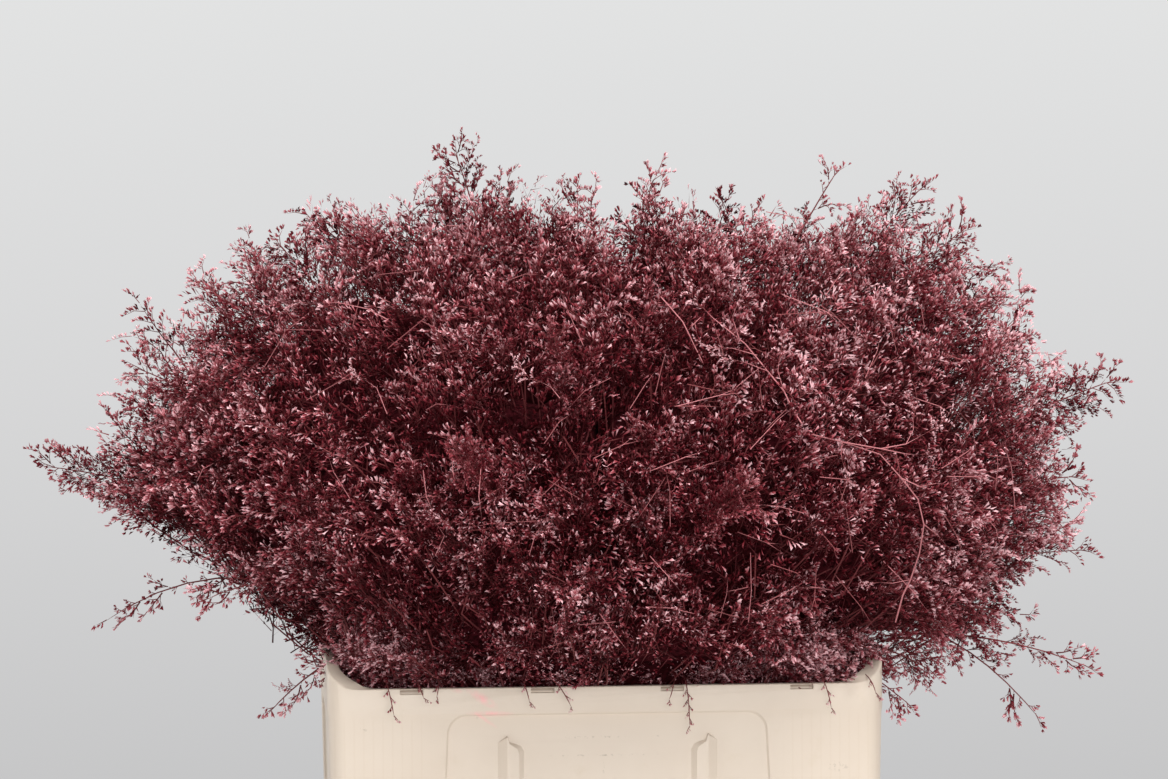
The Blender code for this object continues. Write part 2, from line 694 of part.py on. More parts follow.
def spray(bunch, root, lead, tip, spike, rng):
    """A branch that thins along a curve, with a pointed spike of florets grown from most of its sides."""
    path = [bezier(root, root + lead, tip, i / SPRAY_SEGMENTS) for i in range(SPRAY_SEGMENTS)]
    points, faces = [], [(2, 1, 0)]
    across = Vector((rng.uniform(-1, 1), rng.uniform(-1, 1), rng.uniform(-1, 1)))
    for i, spot in enumerate(path):
        share = i / SPRAY_SEGMENTS
        ahead = (bezier(root, root + lead, tip, share + 1 / SPRAY_SEGMENTS / 3) - spot).normalized()
        across = (across - ahead * across.dot(ahead)).normalized()
        up = ahead.cross(across)
        radius = SPRAY_ROOT_RADIUS + (SPRAY_TIP_RADIUS - SPRAY_ROOT_RADIUS) * share
        for k in range(3):
            angle = 2 * math.pi * k / 3
            points.append(spot + (across * math.cos(angle) + up * math.sin(angle)) * radius)
    for i in range(SPRAY_SEGMENTS - 1):
        ahead = (path[i + 1] - path[i]).normalized()
        for k in range(3):
            a, b = i * 3 + k, i * 3 + (k + 1) % 3
            corners = (a, b, b + 3, a + 3)
            middle = sum((points[c] for c in corners), Vector()) / 4
            out = middle - (path[i] + path[i + 1]) / 2
            out = (out - ahead * out.dot(ahead)).normalized()
            size = spike * (1.1 - 0.6 * i / SPRAY_SEGMENTS) * rng.uniform(*SPIKE_VARIES)
            apex = middle + (out * math.sin(SPIKE_LEAN) + ahead * math.cos(SPIKE_LEAN)) * size
            if i < 1 or rng.random() < BARE_SHARE or not fits(bunch, apex):
                faces.append(corners)
                continue
            points.append(apex)
            faces += [(corners[j], corners[(j + 1) % 4], len(points) - 1) for j in range(4)]
    last = (SPRAY_SEGMENTS - 1) * 3
    points.append(tip)
    faces += [(last + k, last + (k + 1) % 3, len(points) - 1) for k in range(3)]
    return mesh_object("spray", points, faces)


def bezier(a, b, c, t):
    return a * (1 - t) ** 2 + b * (2 * t * (1 - t)) + c * t * t


def owner(way, heads):
    """The bunch whose sector holds this direction."""
    polar = way.angle(Vector((0, 0, 1)))
    azimuth = math.degrees(math.atan2(way.y, way.x))
    for bunch in heads:
        inside_ring = polar < RING_EDGE
        turn = (azimuth - bunch.start) % 360
        if turn < bunch.end - bunch.start and inside_ring == (not bunch.inner):
            return bunch
    return heads[0]


def spray_to(bunch, tip, spike, rng):
    """A spray from inside the head to a tip: it leaves the head outward and ends at the tip."""
    way = (tip - HEAD_CENTRE).normalized()
    polar = min(way.angle(Vector((0, 0, 1))), HEAD_EDGE - math.radians(4))
    azimuth = math.atan2(way.y, way.x)
    middle = math.radians((bunch.start + bunch.end) / 2)
    if bunch.inner:
        turn = (middle - azimuth + math.pi) % (2 * math.pi) - math.pi
        azimuth += max(-ROOT_TURN, min(ROOT_TURN, turn / 2))
        polar = max(polar, RING_EDGE + ROOT_INSET)
    way = direction(polar, azimuth)
    root = HEAD_CENTRE + way * (valley(way) - ROOT_SINK)
    lead = way * (tip - root).length * LEAD_SHARE
    return spray(bunch, root, lead, tip, spike, rng)


def sprays(bunch, heads, rng):
    made = []
    for x, y, z, spike in LONG_SPRAYS:
        tip = Vector((x, y, CRATE_HEIGHT + z))
        if owner((tip - HEAD_CENTRE).normalized(), heads) is bunch:
            made.append(spray_to(bunch, tip, spike, rng))
    for k in range(LOOSE_SPRAYS):
        turn = (k + 0.5) / LOOSE_SPRAYS
        azimuth = math.radians(bunch.start + (bunch.end - bunch.start) * (0.3 + 0.4 * turn))
        polar = bunch.inner + (bunch.outer - bunch.inner) * rng.uniform(*LOOSE_POLAR)
        way = direction(polar, azimuth)
        tip = HEAD_CENTRE + way * (reach(way) + rng.uniform(*LOOSE_REACH))
        made.append(spray_to(bunch, tip, LOOSE_SPIKE, rng))
    return made


def main():
    clear_scene()
    plastic = material("crate_plastic", (0.75, 0.64, 0.53), 0.42)
    flowers = material("dyed_statice", (0.19, 0.05, 0.06), 0.62)
    rubber = material("elastic", (0.62, 0.45, 0.26), 0.55)
    crate(plastic)
    heads = bunches()
    for bunch in heads:
        rng = random.Random(100 + bunch.number)
        body = head(bunch, rng)
        body.data.materials.append(flowers)
        combine(body, stems(bunch) + sprays(bunch, heads, rng), "UNION", "MANIFOLD")
        elastic(bunch, rubber)


main()
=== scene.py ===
"""Looks of the dried statice in its flower crate: fine sprigs, stems, a worn crate, light and camera."""

import math

import bmesh
import bpy
import numpy as np
from mathutils import Matrix, Vector, noise
from numpy.linalg import norm


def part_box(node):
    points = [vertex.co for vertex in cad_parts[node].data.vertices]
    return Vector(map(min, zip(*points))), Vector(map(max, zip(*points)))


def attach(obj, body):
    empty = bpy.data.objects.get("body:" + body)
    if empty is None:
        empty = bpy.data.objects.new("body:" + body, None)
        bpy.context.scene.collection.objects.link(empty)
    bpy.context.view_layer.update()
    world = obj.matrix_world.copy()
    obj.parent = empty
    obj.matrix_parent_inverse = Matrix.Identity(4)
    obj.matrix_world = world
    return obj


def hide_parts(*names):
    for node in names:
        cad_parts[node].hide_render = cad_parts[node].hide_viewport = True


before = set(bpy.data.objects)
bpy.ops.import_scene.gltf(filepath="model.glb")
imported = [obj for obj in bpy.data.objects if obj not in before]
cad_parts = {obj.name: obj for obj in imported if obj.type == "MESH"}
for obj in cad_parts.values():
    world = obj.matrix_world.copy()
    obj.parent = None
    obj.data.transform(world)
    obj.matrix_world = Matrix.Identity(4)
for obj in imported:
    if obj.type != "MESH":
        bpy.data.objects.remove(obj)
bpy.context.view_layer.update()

# The crate's rim and the centre that the heads grow round, as in the part
END_RISE = 0.018
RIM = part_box("crate")[1].z - END_RISE
CENTRE = np.array((0.0, 0.0, RIM + 0.020))
BUNCHES = sorted(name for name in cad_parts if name.startswith("bunch_"))

# Sizes are in metres, and in the tables that say so in millimetres
MM = 1000

# Florets, combs of florets, sprigs and small fans
FLORET_LENGTH, FLORET_WIDTH, FLORET_SPACING = 0.0062, 0.0018, 0.0028
FLORETS_EACH = 4  # in a spikelet of the finer sprigs
FLORET_LEAN = math.radians(58)
FLORET_SHADES = (-0.16, 0.0, 0.20)  # from foot to tip
BLUNT_SHARE = 0.5
PALE_SHARE, PALE_LIFT = 0.08, 0.25
COMB_STALK = 0.14
SPRIG_LENGTH, SPRIG_COMBS, SPRIG_COMB_LENGTHS = 0.062, 8, (0.016, 0.027)
FAN_LENGTH, FAN_COMBS, FAN_COMB_LENGTHS = 0.020, 3, (0.006, 0.011)
TEMPLATES = 18  # of each kind
TWIG_RADIUS, TWIG_TONE = 0.00042, 0.25

# How much tones vary within a spikelet, along a comb, and from sprig to sprig on heads and rim
SPIKELET_TONES, COMB_TONES, SPRIG_TONES, COLLAR_TONES = 0.12, 0.11, 0.11, 0.10

# Degrees between a stem and the inner and the outer half of a comb on it
SPRIG_OPENING, TOP_OPENING = ((18, 42), (62, 105)), ((0, 15), (40, 80))
SPRAY_OPENING, END_OPENING = ((20, 45), (60, 95)), ((0, 12), (10, 40))
HANGING_OPENING = ((20, 40), (30, 60))

# Materials of a bunch, by the number that its faces carry
FLORET, TWIG, CORE = 0, 1, 2

# The heads: which CAD florets count, and shares and numbers of sprigs
STANDS_OUT, LEAST_FLORET, CLEAR_OF_SPRAYS = 0.004, 0.022, 0.030
FINE_SHARES = (0.50, 0.28)  # in front and behind
FILLERS = 2500
RIM_STEMS = 150
STRAY_STEMS = 480
SPRIG_LENGTHS, COLLAR_LENGTHS = (0.048, 0.070), (0.034, 0.056)
TIP_SCATTER = 0.008
UPRIGHT = np.array((0, 0, 0.10))
ROOM_FOR_ROOTS = 0.94  # as a share of the heads' reach
STALK_LENGTHS = (0.04, 0.09)

# Stems: radii along the stalks of sprigs, the rim stems and their forks, sprays and stray stems
STALK_RADII, RIM_STEM_RADII, FORK_RADII = (0.0007, 0.0006), (0.0011, 0.0010), (0.0008, 0.0006)
SPRAY_RADII, RIM_TWIG_RADIUS, STRAY_RADII = (0.0009, 0.0004), 0.0004, (0.00036, 0.00030)
STALK_TONE, RIM_STEM_TONES, RIM_TWIG_TONE, STRAY_TONES = 0.3, (0.35, 0.75), 0.45, (0.55, 1.0)

# Long sprays: where they start, as a share of the reach, their usual spike and the share of fans
SPRAY_ROOT, SPIKE_WIDTH, FAN_SHARE = 0.72, 0.018, 0.45
FRONT_DEPTHS, ABOVE_FRONT = (-0.04, -0.36), 0.004  # for the pale stems

# Plumes, the dark hollows between them and the parting in the middle of the front
PLUME_WIDTH, PLUME_DEPTH, PLUME_ROOT = 0.046, 0.024, 0.085
HOLLOW_PITCH, HOLLOW_START, HOLLOW_DEPTH = 14.0, Vector((3.1, 8.2, 0.4)), 0.045
HOLLOW_FROM, HOLLOW_RUN = 0.05, 0.30
PARTING, PARTING_HALVES, PARTING_STRENGTH = (0.045, 0.150), (0.16, 0.085), 0.36
CUSHION_HEIGHT, CUSHION_STRENGTH = 0.055, 0.25  # just above the rim, where no hollow lies
CORE_DEPTH, CORE_GRAIN = 0.075, 0.013

# Where the low sides draw in: side, middle and half of the height, fullness and depth
WAISTS = ((-1, 0.055, 0.047, 1.6, 0.060), (1, 0.085, 0.050, 1.0, 0.010))

# The thinned outline: how much of it to the right, in front and above, and all of it far left
LACE_SIDES, LACE_FROM = (0.5, 0.0, 0.5), 0.40
LACE_LEFT_FROM, LACE_LEFT_RUN = 0.72, 0.2
LACE_SHARE, LACE_DEPTH = 0.5, 0.028

# Tones: painted shade on inner parts and on what lies deep, painted light on the upper right and painted
# shade on the middle of the front
INNER_SHADE, COLLAR_SHADE = 0.52, 0.26
SPRIG_TONE, SUNK_SHADE = 0.02, 3.2
PAINTED_LIGHT_WAY, PAINTED_LIGHT_FROM, PAINTED_LIGHT_RUN, PAINTED_LIGHT = np.array((0.72, -0.22, 0.66)), 0.70, 0.25, 0.07
SHADED_MIDDLE, SHADED_HALVES, MIDDLE_SHADE = (0.045, 0.135), (0.24, 0.080), 0.07
SPRAY_TONE, SPRAY_CONTRAST = 0.38, 0.62

# The inner edge of the mouth, which the plants spill over
MOUTH_HALF = np.array((0.186, 0.136))
MOUTH_SQUARE = 5.0

# Sprigs round the rim: fine or not, number, share of the way round (0.5 to 1 is the front half),
# how far past the mouth's edge and above the rim in millimetres, and tone
COLLAR_ROWS = (
    (False, 260, (0, 1), (0, 30), (0, 50), 0.02),
    (False, 420, (0, 1), (-26, 6), (0, 36), 0.04),
    (True, 330, (0.5, 1), (-18, 6), (2, 44), 0.10),
    (True, 70, (0, 0.5), (-18, 8), (2, 36), 0.08),
    (True, 34, (0.865, 0.915), (18, 48), (12, 32), 0.12),
    (True, 22, (0.59, 0.63), (14, 40), (18, 34), 0.12),
)

# Small twigs over the front edge, in millimetres: x, how far down each hangs and how far it leans
RIM_TWIGS = (
    (-157, 19, 4), (-135, 6, 3), (-121, 5, -2), (-60, 10, 3), (-36, 14, 9), (56, 30, 1), (47, 10, -5),
    (155, 18, 4), (188, 7, 3),
)

# Pale stems over the front: radius in hundredths of a millimetre, then in millimetres the length of
# the sprig at the end (or 0) and x and height above the rim along each
PALE_STEMS = (
    (48, 0, ((36, 277), (50, 259), (62, 232))),
    (60, 0, ((129, 187), (125, 196), (119, 210), (108, 224), (93, 243), (80, 254))),
    (40, 30, ((80, 254), (72, 262), (65, 270))),
    (40, 26, ((88, 247), (86, 262), (91, 274))),
    (32, 22, ((100, 235), (84, 240), (74, 241))),
    (32, 22, ((108, 224), (92, 230), (84, 232))),
    (32, 24, ((119, 210), (115, 224), (117, 236))),
    (60, 0, ((206, 44), (208, 64), (214, 75), (219, 94), (220, 115), (215, 133), (203, 148), (187, 165),
             (160, 174), (139, 179))),
    (48, 30, ((203, 148), (216, 142), (228, 139), (240, 133))),
    (32, 24, ((216, 142), (230, 144), (243, 142))),
    (40, 26, ((220, 115), (232, 107), (244, 96))),
    (32, 22, ((214, 75), (200, 73), (186, 74))),
    (48, 32, ((160, 174), (187, 169), (206, 172), (226, 181))),
    (40, 28, ((187, 169), (206, 165), (222, 164))),
    (32, 24, ((206, 172), (212, 182), (213, 192))),
    (40, 28, ((160, 174), (158, 166), (160, 158))),
    (32, 0, ((94, 48), (95, 70), (93, 95))),
    (32, 0, ((20, 61), (36, 60), (52, 56))),
    (40, 26, ((-156, 262), (-170, 270), (-190, 275), (-214, 275))),
    (32, 20, ((-158, 196), (-165, 214), (-176, 222))),
    (32, 24, ((-126, 98), (-120, 112), (-128, 124))),
    (40, 28, ((-40, 206), (-46, 214), (-56, 219))),
)

# Tips of the part's sprays that the sprays and twigs here stand in for, in millimetres from the rim
STOOD_IN_TIPS = (
    (53, -196, -24), (-150, -190, -14), (128, -197, -12), (250, -150, -40), (394, -115, 136),
    (42, 21, 371), (-288, -150, 34), (351, 0, 290), (-225, 0, 377),
)

# Free tips of the long sprays, in millimetres: x, y, height above the rim and width of the spike,
# then how leafy each is and how far it arches up, where that differs from SPRAY_ARCH
SPRAY_ARCH = 14
LONG_SPRAYS = (
    (-102, -30, 394, 17, 0.6), (-3, 40, 374, 14, 0.5), (187, -50, 378, 15, 0.0), (141, 60, 357, 13, 0.2),
    (268, 30, 371, 20, 0.7), (286, -40, 334, 19, 0.9), (-200, 40, 346, 18, 0.9), (-235, 0, 326, 18, 0.9),
    (-264, -20, 300, 18, 0.8), (408, -10, 218, 20, 1.0), (356, -115, 146, 17, 0.6), (394, 20, 86, 18, 0.5),
    (362, -120, 4, 16, 0.2, 20), (335, -60, -40, 14, 0.1, 36), (262, -115, 18, 16, 0.9),
    (285, -70, 30, 16, 0.9), (243, -135, 2, 15, 0.8), (300, -95, 46, 16, 0.9), (255, -140, 36, 16, 0.9),
    (222, -150, -20, 13, 0.5), (-412, 10, 158, 18, 1.0), (-350, 110, 207, 18, 0.8),
    (-366, -20, 40, 10, 0.0, 56), (-290, -130, 62, 11, 0.0, 34), (-243, -100, -22, 13, 0.15),
    (-340, -110, 232, 18, 0.8), (90, -290, 140, 18, 0.8), (-120, -288, 170, 18, 0.8),
    (-45, -252, 255, 18, 0.8), (120, 285, 160, 18, 0.8), (-110, 290, 140, 18, 0.8),
    (50, 258, 250, 18, 0.8), (-50, 243, 30, 14, 0.3),
)

# The crate: the part's sizes, with finer corners and softer edges
CRATE_LENGTH, CRATE_WIDTH = 0.400, 0.300
DRAFT, WALL, FLOOR, CORNER_RADIUS, FOOT_CHAMFER = 0.006, 0.0035, 0.004, 0.012, 0.003
BAND_HEIGHT, BAND_PROUD, BAND_TAPER = 0.018, 0.0006, 0.004
LIP_WIDTH, LIP_ROUND, LIP_DEPTH, MOUTH_RADIUS = 0.009, 0.0014, 0.016, 0.018
CORNER_STEPS = 12
NOTCH_CENTRES, NOTCH_SIZE, NOTCH_DROP = (-0.140, -0.0465, 0.0465, 0.140), (0.0167, 0.0058, 0.0034), 0.0008
PANEL_SINK, PANEL_TOP, PANEL_FOOT, PANEL_CORNER = 0.0018, RIM - 0.019, 0.035, 0.014
PANEL_SLOPE, CUTTER_REACH = 0.0012, 0.02
LONG_PANEL_WIDTHS, SHORT_PANEL_WIDTHS = (0.230, 0.252), (0.160, 0.176)
RIB_HEIGHT, RIB_ROOT = 0.0042, 0.001
# Across and height from the rim of each corner of a rib, at its foot on the panel and on its crest
RIB_CORNERS = (
    ((0.0590, -0.1900), (0.0638, -0.1850)), ((0.0803, -0.1900), (0.0722, -0.1850)),
    ((0.0803, -0.0405), (0.0722, -0.0358)), ((0.0722, -0.0345), (0.0719, -0.0352)),
    ((0.0702, -0.0388), (0.0706, -0.0402)), ((0.0650, -0.0402), (0.0672, -0.0425)),
    ((0.0612, -0.0418), (0.0650, -0.0440)), ((0.0592, -0.0455), (0.0638, -0.0475)),
)
# How the rim rises round a corner, as distance along each side in RISE_RUN and share of the rise
RISE_RUN = 0.005
RISE_BEFORE, RISE_IN_CORNER, RISE_AFTER = ((2.4, 0.0), (1.0, 0.03)), (0.09, 0.86), ((1.0, 0.99), (2.4, 1.0))
EDGE_ROUND, EDGE_SEGMENTS = 0.0005, 2
ROUND_FROM, SHARP_FROM = math.radians(32), math.radians(38)

# Smudges and scuffs on the crate's front, in millimetres: x and height from the rim, size, then
# turn and, for the smudges, strength
SMUDGES = (
    ((-90, -7.5), (15, 4.2), 0.55, 0.85), ((-84, -18.5), (19, 2.6), 0.02, 0.75),
    ((-88, -22.5), (12, 1.8), 0.62, 0.70), ((-108, -1.5), (6, 2.2), 0.20, 0.45),
)
SCUFFS = (
    ((-93, -21.5), (4, 1.2), 0.6), ((-14, -36.5), (30, 1), 0), ((-3, -49.5), (45, 0.9), 0),
    ((-3, -61), (0.8, 7), 0), ((35, -36.5), (4, 1), 0), ((160, -18), (3, 1), 0),
    ((-175, -28), (4, 3), 0), ((165, -60), (10, 4), 0.2),
)

# Colours, and places along the ramps
FLORET_COLOURS = (
    (0.0, (0.020, 0.0010, 0.0016)), (0.30, (0.088, 0.0060, 0.0105)), (0.55, (0.225, 0.035, 0.045)),
    (0.78, (0.43, 0.154, 0.172)), (1.0, (0.70, 0.42, 0.445)),
)
TWIG_COLOURS = ((0.0, (0.050, 0.006, 0.008)), (0.5, (0.18, 0.042, 0.044)), (1.0, (0.46, 0.17, 0.18)))
CORE_SHADE_COLOURS = ((0.35, (0.012, 0.0012, 0.0018)), (0.62, (0.050, 0.006, 0.009)))
CREAMS = ((0.30, (0.574, 0.482, 0.391)), (0.70, (0.613, 0.525, 0.434)))
STAIN, FAINT_LINE, SLOT_SHADE = (0.50, 0.40, 0.27), (0.52, 0.41, 0.30), (0.30, 0.22, 0.16)
SMUDGE, SCUFF = (0.80, 0.36, 0.36), (0.28, 0.22, 0.16)
ELASTIC, FLOOR_COLOUR = (0.45, 0.30, 0.16), (0.60, 0.60, 0.605)
BACKDROP = (
    (0.0, (0.56, 0.56, 0.565)), (0.153, (0.68, 0.68, 0.685)), (0.306, (0.765, 0.77, 0.77)),
    (0.6, (0.70, 0.70, 0.70)), (1.0, (0.30, 0.30, 0.30)),
)
BACKDROP_HEIGHTS = (-0.11, 0.61)

# Camera, floor and lights: name, place, height of the target, size and power
CAMERA_DISTANCE = 2.67
CAMERA_AZIMUTH = math.radians(-5.0)
CAMERA_HEIGHT = RIM + 0.212
CAMERA_ROLL = math.radians(0.42)
AIM = Vector((-0.0154, -0.150, 0.0))
FIELD_OF_VIEW = 2 * math.atan(584 / 3740)
FLOOR_RADIUS, FLOOR_FADE, FLOOR_STEPS, FLOOR_DROP = 1.9, 0.7, 96, 0.0005
LIGHTS = (
    ("overhead", (0.25, -1.2, 2.9), 0.45, 1.8, 112),
    ("front", (0.0, -3.4, 0.55), 0.4, 1.4, 50),
    ("behind_left", (-2.4, 1.4, 0.7), 0.35, 1.2, 22),
    ("behind_right", (2.3, 1.7, 0.7), 0.35, 1.2, 16),
)

rng = np.random.default_rng(7)


# Shapes of plants


def unit(vectors):
    return vectors / np.maximum(norm(vectors, axis=-1, keepdims=True), 1e-9)


def outward(points):
    return unit(points - CENTRE)


def on_curve(a, b, c, shares):
    t = np.asarray(shares)[:, None]
    return a * (1 - t) ** 2 + b * 2 * t * (1 - t) + c * t * t


def spot_on(a, b, c, share):
    return on_curve(a, b, c, (share,))[0]


def ahead_on(a, b, c, share):
    return unit((b - a) * (1 - share) + (c - b) * share)


def twig(path, radii, sides):
    """A thin tube along a path that closes to a point at its end."""
    path = np.asarray(path)
    ahead = unit(np.gradient(path, axis=0))
    across = unit(np.cross(ahead, np.array((0.3, 0.9, 0.2))))
    up = np.cross(ahead, across)
    angles = 2 * math.pi * np.arange(sides) / sides
    rings = [
        path[i] + radii[i] * (np.outer(np.cos(angles), across[i]) + np.outer(np.sin(angles), up[i]))
        for i in range(len(path) - 1)
    ]
    points = np.concatenate(rings + [path[-1:]])
    faces = []
    for i in range(len(path) - 2):
        for k in range(sides):
            a, b = i * sides + k, i * sides + (k + 1) % sides
            faces += [(a, b, b + sides), (a, b + sides, a + sides)]
    last = (len(path) - 2) * sides
    for k in range(sides):
        faces.append((last + k, last + (k + 1) % sides, len(points) - 1))
    return points, np.array(faces)


class Growth:
    """Vertices, triangles and per-vertex tone of plant matter that becomes one mesh."""

    def __init__(self):
        self.points, self.faces, self.tones, self.kinds = [], [], [], []
        self.count = 0

    def add(self, points, faces, tones, kinds):
        self.points.append(points)
        self.faces.append(faces + self.count)
        self.tones.append(np.broadcast_to(tones, (len(points),)))
        self.kinds.append(np.full(len(faces), kinds))
        self.count += len(points)

    def stem(self, path, radii, tone, sides=3):
        self.add(*twig(path, radii, sides), tone, TWIG)

    def arrays(self):
        return [np.concatenate(rows) for rows in (self.points, self.faces, self.tones, self.kinds)]


def florets(bases, ways, lengths, widths, tones, each):
    """Narrow blades, pointed or blunt, several from one foot in a spikelet."""
    if each > 1:
        rows = (bases, ways, lengths, widths, tones)
        bases, ways, lengths, widths, tones = (np.repeat(row, each, axis=0) for row in rows)
        ways = unit(ways + rng.normal(0, 0.20, ways.shape))
        lengths = lengths * rng.uniform(0.72, 1.05, len(lengths))
        tones = tones + rng.normal(0, SPIKELET_TONES, len(tones))
    count = len(bases)
    side = unit(np.cross(ways, unit(rng.normal(size=(count, 3))))) * widths[:, None]
    ahead = ways * lengths[:, None]
    blunt = (rng.random(count) < BLUNT_SHARE)[:, None]
    corners = [
        bases + np.where(blunt, 0.0, side * 0.5 + ahead * 0.08),
        bases + ahead * np.where(blunt, 0.80, 0.42) + np.where(blunt, 0.5, -0.5) * side,
        bases + ahead - side * np.where(blunt, 0.4, 0.0),
    ]
    points = np.stack(corners, axis=1).reshape(-1, 3)
    shades = np.repeat(tones, 3).reshape(count, 3) + FLORET_SHADES
    return points, np.arange(count * 3).reshape(-1, 3), shades.ravel()


def blade(start, end, width):
    """A one-face stalk for sprigs that lie under others."""
    across = unit(np.cross(end - start, rng.normal(size=3))) * width / 2
    return np.stack([start - across, start + across, end]), np.array(((0, 1, 2),))


def add_comb(growth, start, stem, out, opening, length, tone, solid, grain=1.0):
    """A comb that leaves the stem, arches over outwards and carries florets on its upper side."""
    first, last = (math.radians(rng.uniform(*degrees)) for degrees in opening)
    number = max(3, round(length * (1 - COMB_STALK) / (FLORET_SPACING * grain)))
    middle = start + (stem * math.cos(first) + out * math.sin(first)) * length * 0.5
    end = middle + (stem * math.cos(last) + out * math.sin(last)) * length * 0.5
    if solid:
        path = on_curve(start, middle, end, (0.0, 0.5, 0.98))
        growth.stem(path, [TWIG_RADIUS, TWIG_RADIUS * 0.8], tone - 0.1)
    else:
        stalk = blade(start, spot_on(start, middle, end, 0.85), TWIG_RADIUS * 2.4)
        growth.add(*stalk, tone - 0.1, TWIG)
    share = COMB_STALK + (1 - COMB_STALK) * (np.arange(number) + rng.uniform(0.6, 1.1, number)) / number
    ahead = ahead_on(start, middle, end, share[:, None])
    up = unit(stem - ahead * np.sum(stem * ahead, axis=1, keepdims=True) - out * 0.02)
    turn = np.where(np.arange(number) % 2 == 0, 1, -1) * rng.uniform(0.05, 0.45, number)
    standing = up * np.cos(turn)[:, None] + np.cross(ahead, up) * np.sin(turn)[:, None]
    lean = FLORET_LEAN * (1 - 0.55 * share ** 4) * rng.uniform(0.88, 1.12, number)
    ways = unit(ahead * np.cos(lean)[:, None] + standing * np.sin(lean)[:, None])
    lengths = FLORET_LENGTH * grain * rng.uniform(0.80, 1.15, number) * (1.08 - 0.3 * share)
    widths = FLORET_WIDTH * grain * rng.uniform(0.85, 1.2, number)
    pale = np.where(rng.random(number) < PALE_SHARE, PALE_LIFT, 0.0)
    tones = tone + rng.normal(0, COMB_TONES, number) + 0.10 * share + pale
    spots = on_curve(start, middle, end, share)
    growth.add(*florets(spots, ways, lengths, widths, tones, FLORETS_EACH if solid else 1), FLORET)


def make_sprig(solid, full_length, combs, comb_lengths):
    """A branch along +Z with combs on alternate sides, as points, faces, tones, kinds and length."""
    growth = Growth()
    sway = rng.uniform(-0.12, 0.12, 2) * full_length
    root = np.zeros(3)
    middle = np.array((-sway[0], -sway[1], full_length * 0.42))
    top = np.array((sway[0], sway[1], full_length * 0.80))
    axis = on_curve(root, middle, top, (0.0, 0.35, 0.7, 1.0) if solid else (0.0, 0.5, 1.0))
    growth.stem(axis, TWIG_RADIUS * np.linspace(1.6, 1.0, len(axis) - 1), TWIG_TONE)
    plane = rng.uniform(0, 2 * math.pi)
    for k in range(combs):
        share = 0.08 + 0.88 * (k + rng.uniform(-0.25, 0.25)) / combs
        start, stem = spot_on(root, middle, top, share), ahead_on(root, middle, top, share)
        around = plane + (k % 2) * math.pi + rng.normal(0, 0.7)
        out = np.array((math.cos(around), math.sin(around), 0.0))
        length = rng.uniform(*comb_lengths) * (1.15 - 0.40 * share)
        add_comb(growth, start, stem, out, SPRIG_OPENING, length, 0.52 + 0.08 * share, solid)
    lean = unit(np.append(rng.normal(size=2), 0.0))
    add_comb(growth, top, unit(top - middle), lean, TOP_OPENING, comb_lengths[1] * 0.7, 0.6, solid)
    return (*growth.arrays(), full_length)


def rotation_to(ways, rolls):
    """Matrices that turn +Z to each direction, with a roll about it."""
    helper = np.where(np.abs(ways[:, 2:3]) < 0.95, np.array(((0.0, 0.0, 1.0),)), np.array(((1.0, 0.0, 0.0),)))
    x = unit(np.cross(helper, ways))
    y = np.cross(ways, x)
    c, s = np.cos(rolls)[:, None], np.sin(rolls)[:, None]
    return np.stack([x * c + y * s, y * c - x * s, ways], axis=2)


def place(growth, template, roots, ways, lengths, bends, tones, shaded=INNER_SHADE):
    """Copies a sprig to each root, scaled, turned and bent."""
    points, faces, shades, kinds, full_length = template
    many = len(roots)
    if not many:
        return
    turned = np.einsum("nij,pj->npi", rotation_to(ways, rng.uniform(0, 2 * math.pi, many)), points)
    along = points[:, 2] / full_length
    bent = bends[:, None] * (np.clip(along, 0, 1.1) ** 2)[None, :, None]
    placed = roots[:, None] + turned * (lengths / full_length)[:, None, None] + bent
    # Painted shade: each sprig is darker towards its root, deep in the mass
    inner = shaded * (np.clip(along, 0, 1) - 1)
    all_faces = faces[None] + np.arange(many)[:, None, None] * len(points)
    all_tones = shades[None] + inner[None] + tones[:, None]
    growth.add(placed.reshape(-1, 3), all_faces.reshape(-1, 3), all_tones.ravel(), np.tile(kinds, many))


def pick(templates):
    return templates[rng.integers(0, len(templates))]


def place_one(growth, template, root, way, length, bend, tone, shaded=INNER_SHADE):
    length, tone = np.array((length,)), np.array((tone,))
    place(growth, template, root[None], way[None], length, bend[None], tone, shaded)


# Meshes


def adjusted(thing, **settings):
    """The thing itself, with its settings made."""
    for name, value in settings.items():
        setattr(thing, name, value)
    return thing


def linked(name, data):
    made = bpy.data.objects.new(name, data)
    bpy.context.scene.collection.objects.link(made)
    return made


def evaluated(body):
    """Applies a body's modifiers."""
    bpy.context.view_layer.update()
    graph = bpy.context.evaluated_depsgraph_get()
    mesh = bpy.data.meshes.new_from_object(body.evaluated_get(graph))
    body.modifiers.clear()
    body.data = mesh


def mesh_arrays(mesh):
    """A mesh's corners and triangles."""
    points = np.empty(len(mesh.vertices) * 3, np.float32)
    mesh.vertices.foreach_get("co", points)
    mesh.calc_loop_triangles()
    faces = np.empty(len(mesh.loop_triangles) * 3, np.int32)
    mesh.loop_triangles.foreach_get("vertices", faces)
    return points.reshape(-1, 3).astype(float), faces.reshape(-1, 3)


def mesh_from(name, points, faces, tones, kinds, materials):
    mesh = bpy.data.meshes.new(name)
    mesh.vertices.add(len(points))
    mesh.vertices.foreach_set("co", points.astype(np.float32).ravel())
    mesh.loops.add(len(faces) * 3)
    mesh.loops.foreach_set("vertex_index", faces.astype(np.int32).ravel())
    mesh.polygons.add(len(faces))
    mesh.polygons.foreach_set("loop_start", np.arange(len(faces), dtype=np.int32) * 3)
    mesh.polygons.foreach_set("material_index", kinds.astype(np.int32))
    mesh.update(calc_edges=True)
    mesh.attributes.new("tone", "FLOAT", "POINT").data.foreach_set("value", tones.astype(np.float32))
    for material in materials:
        mesh.materials.append(material)
    return linked(name, mesh)


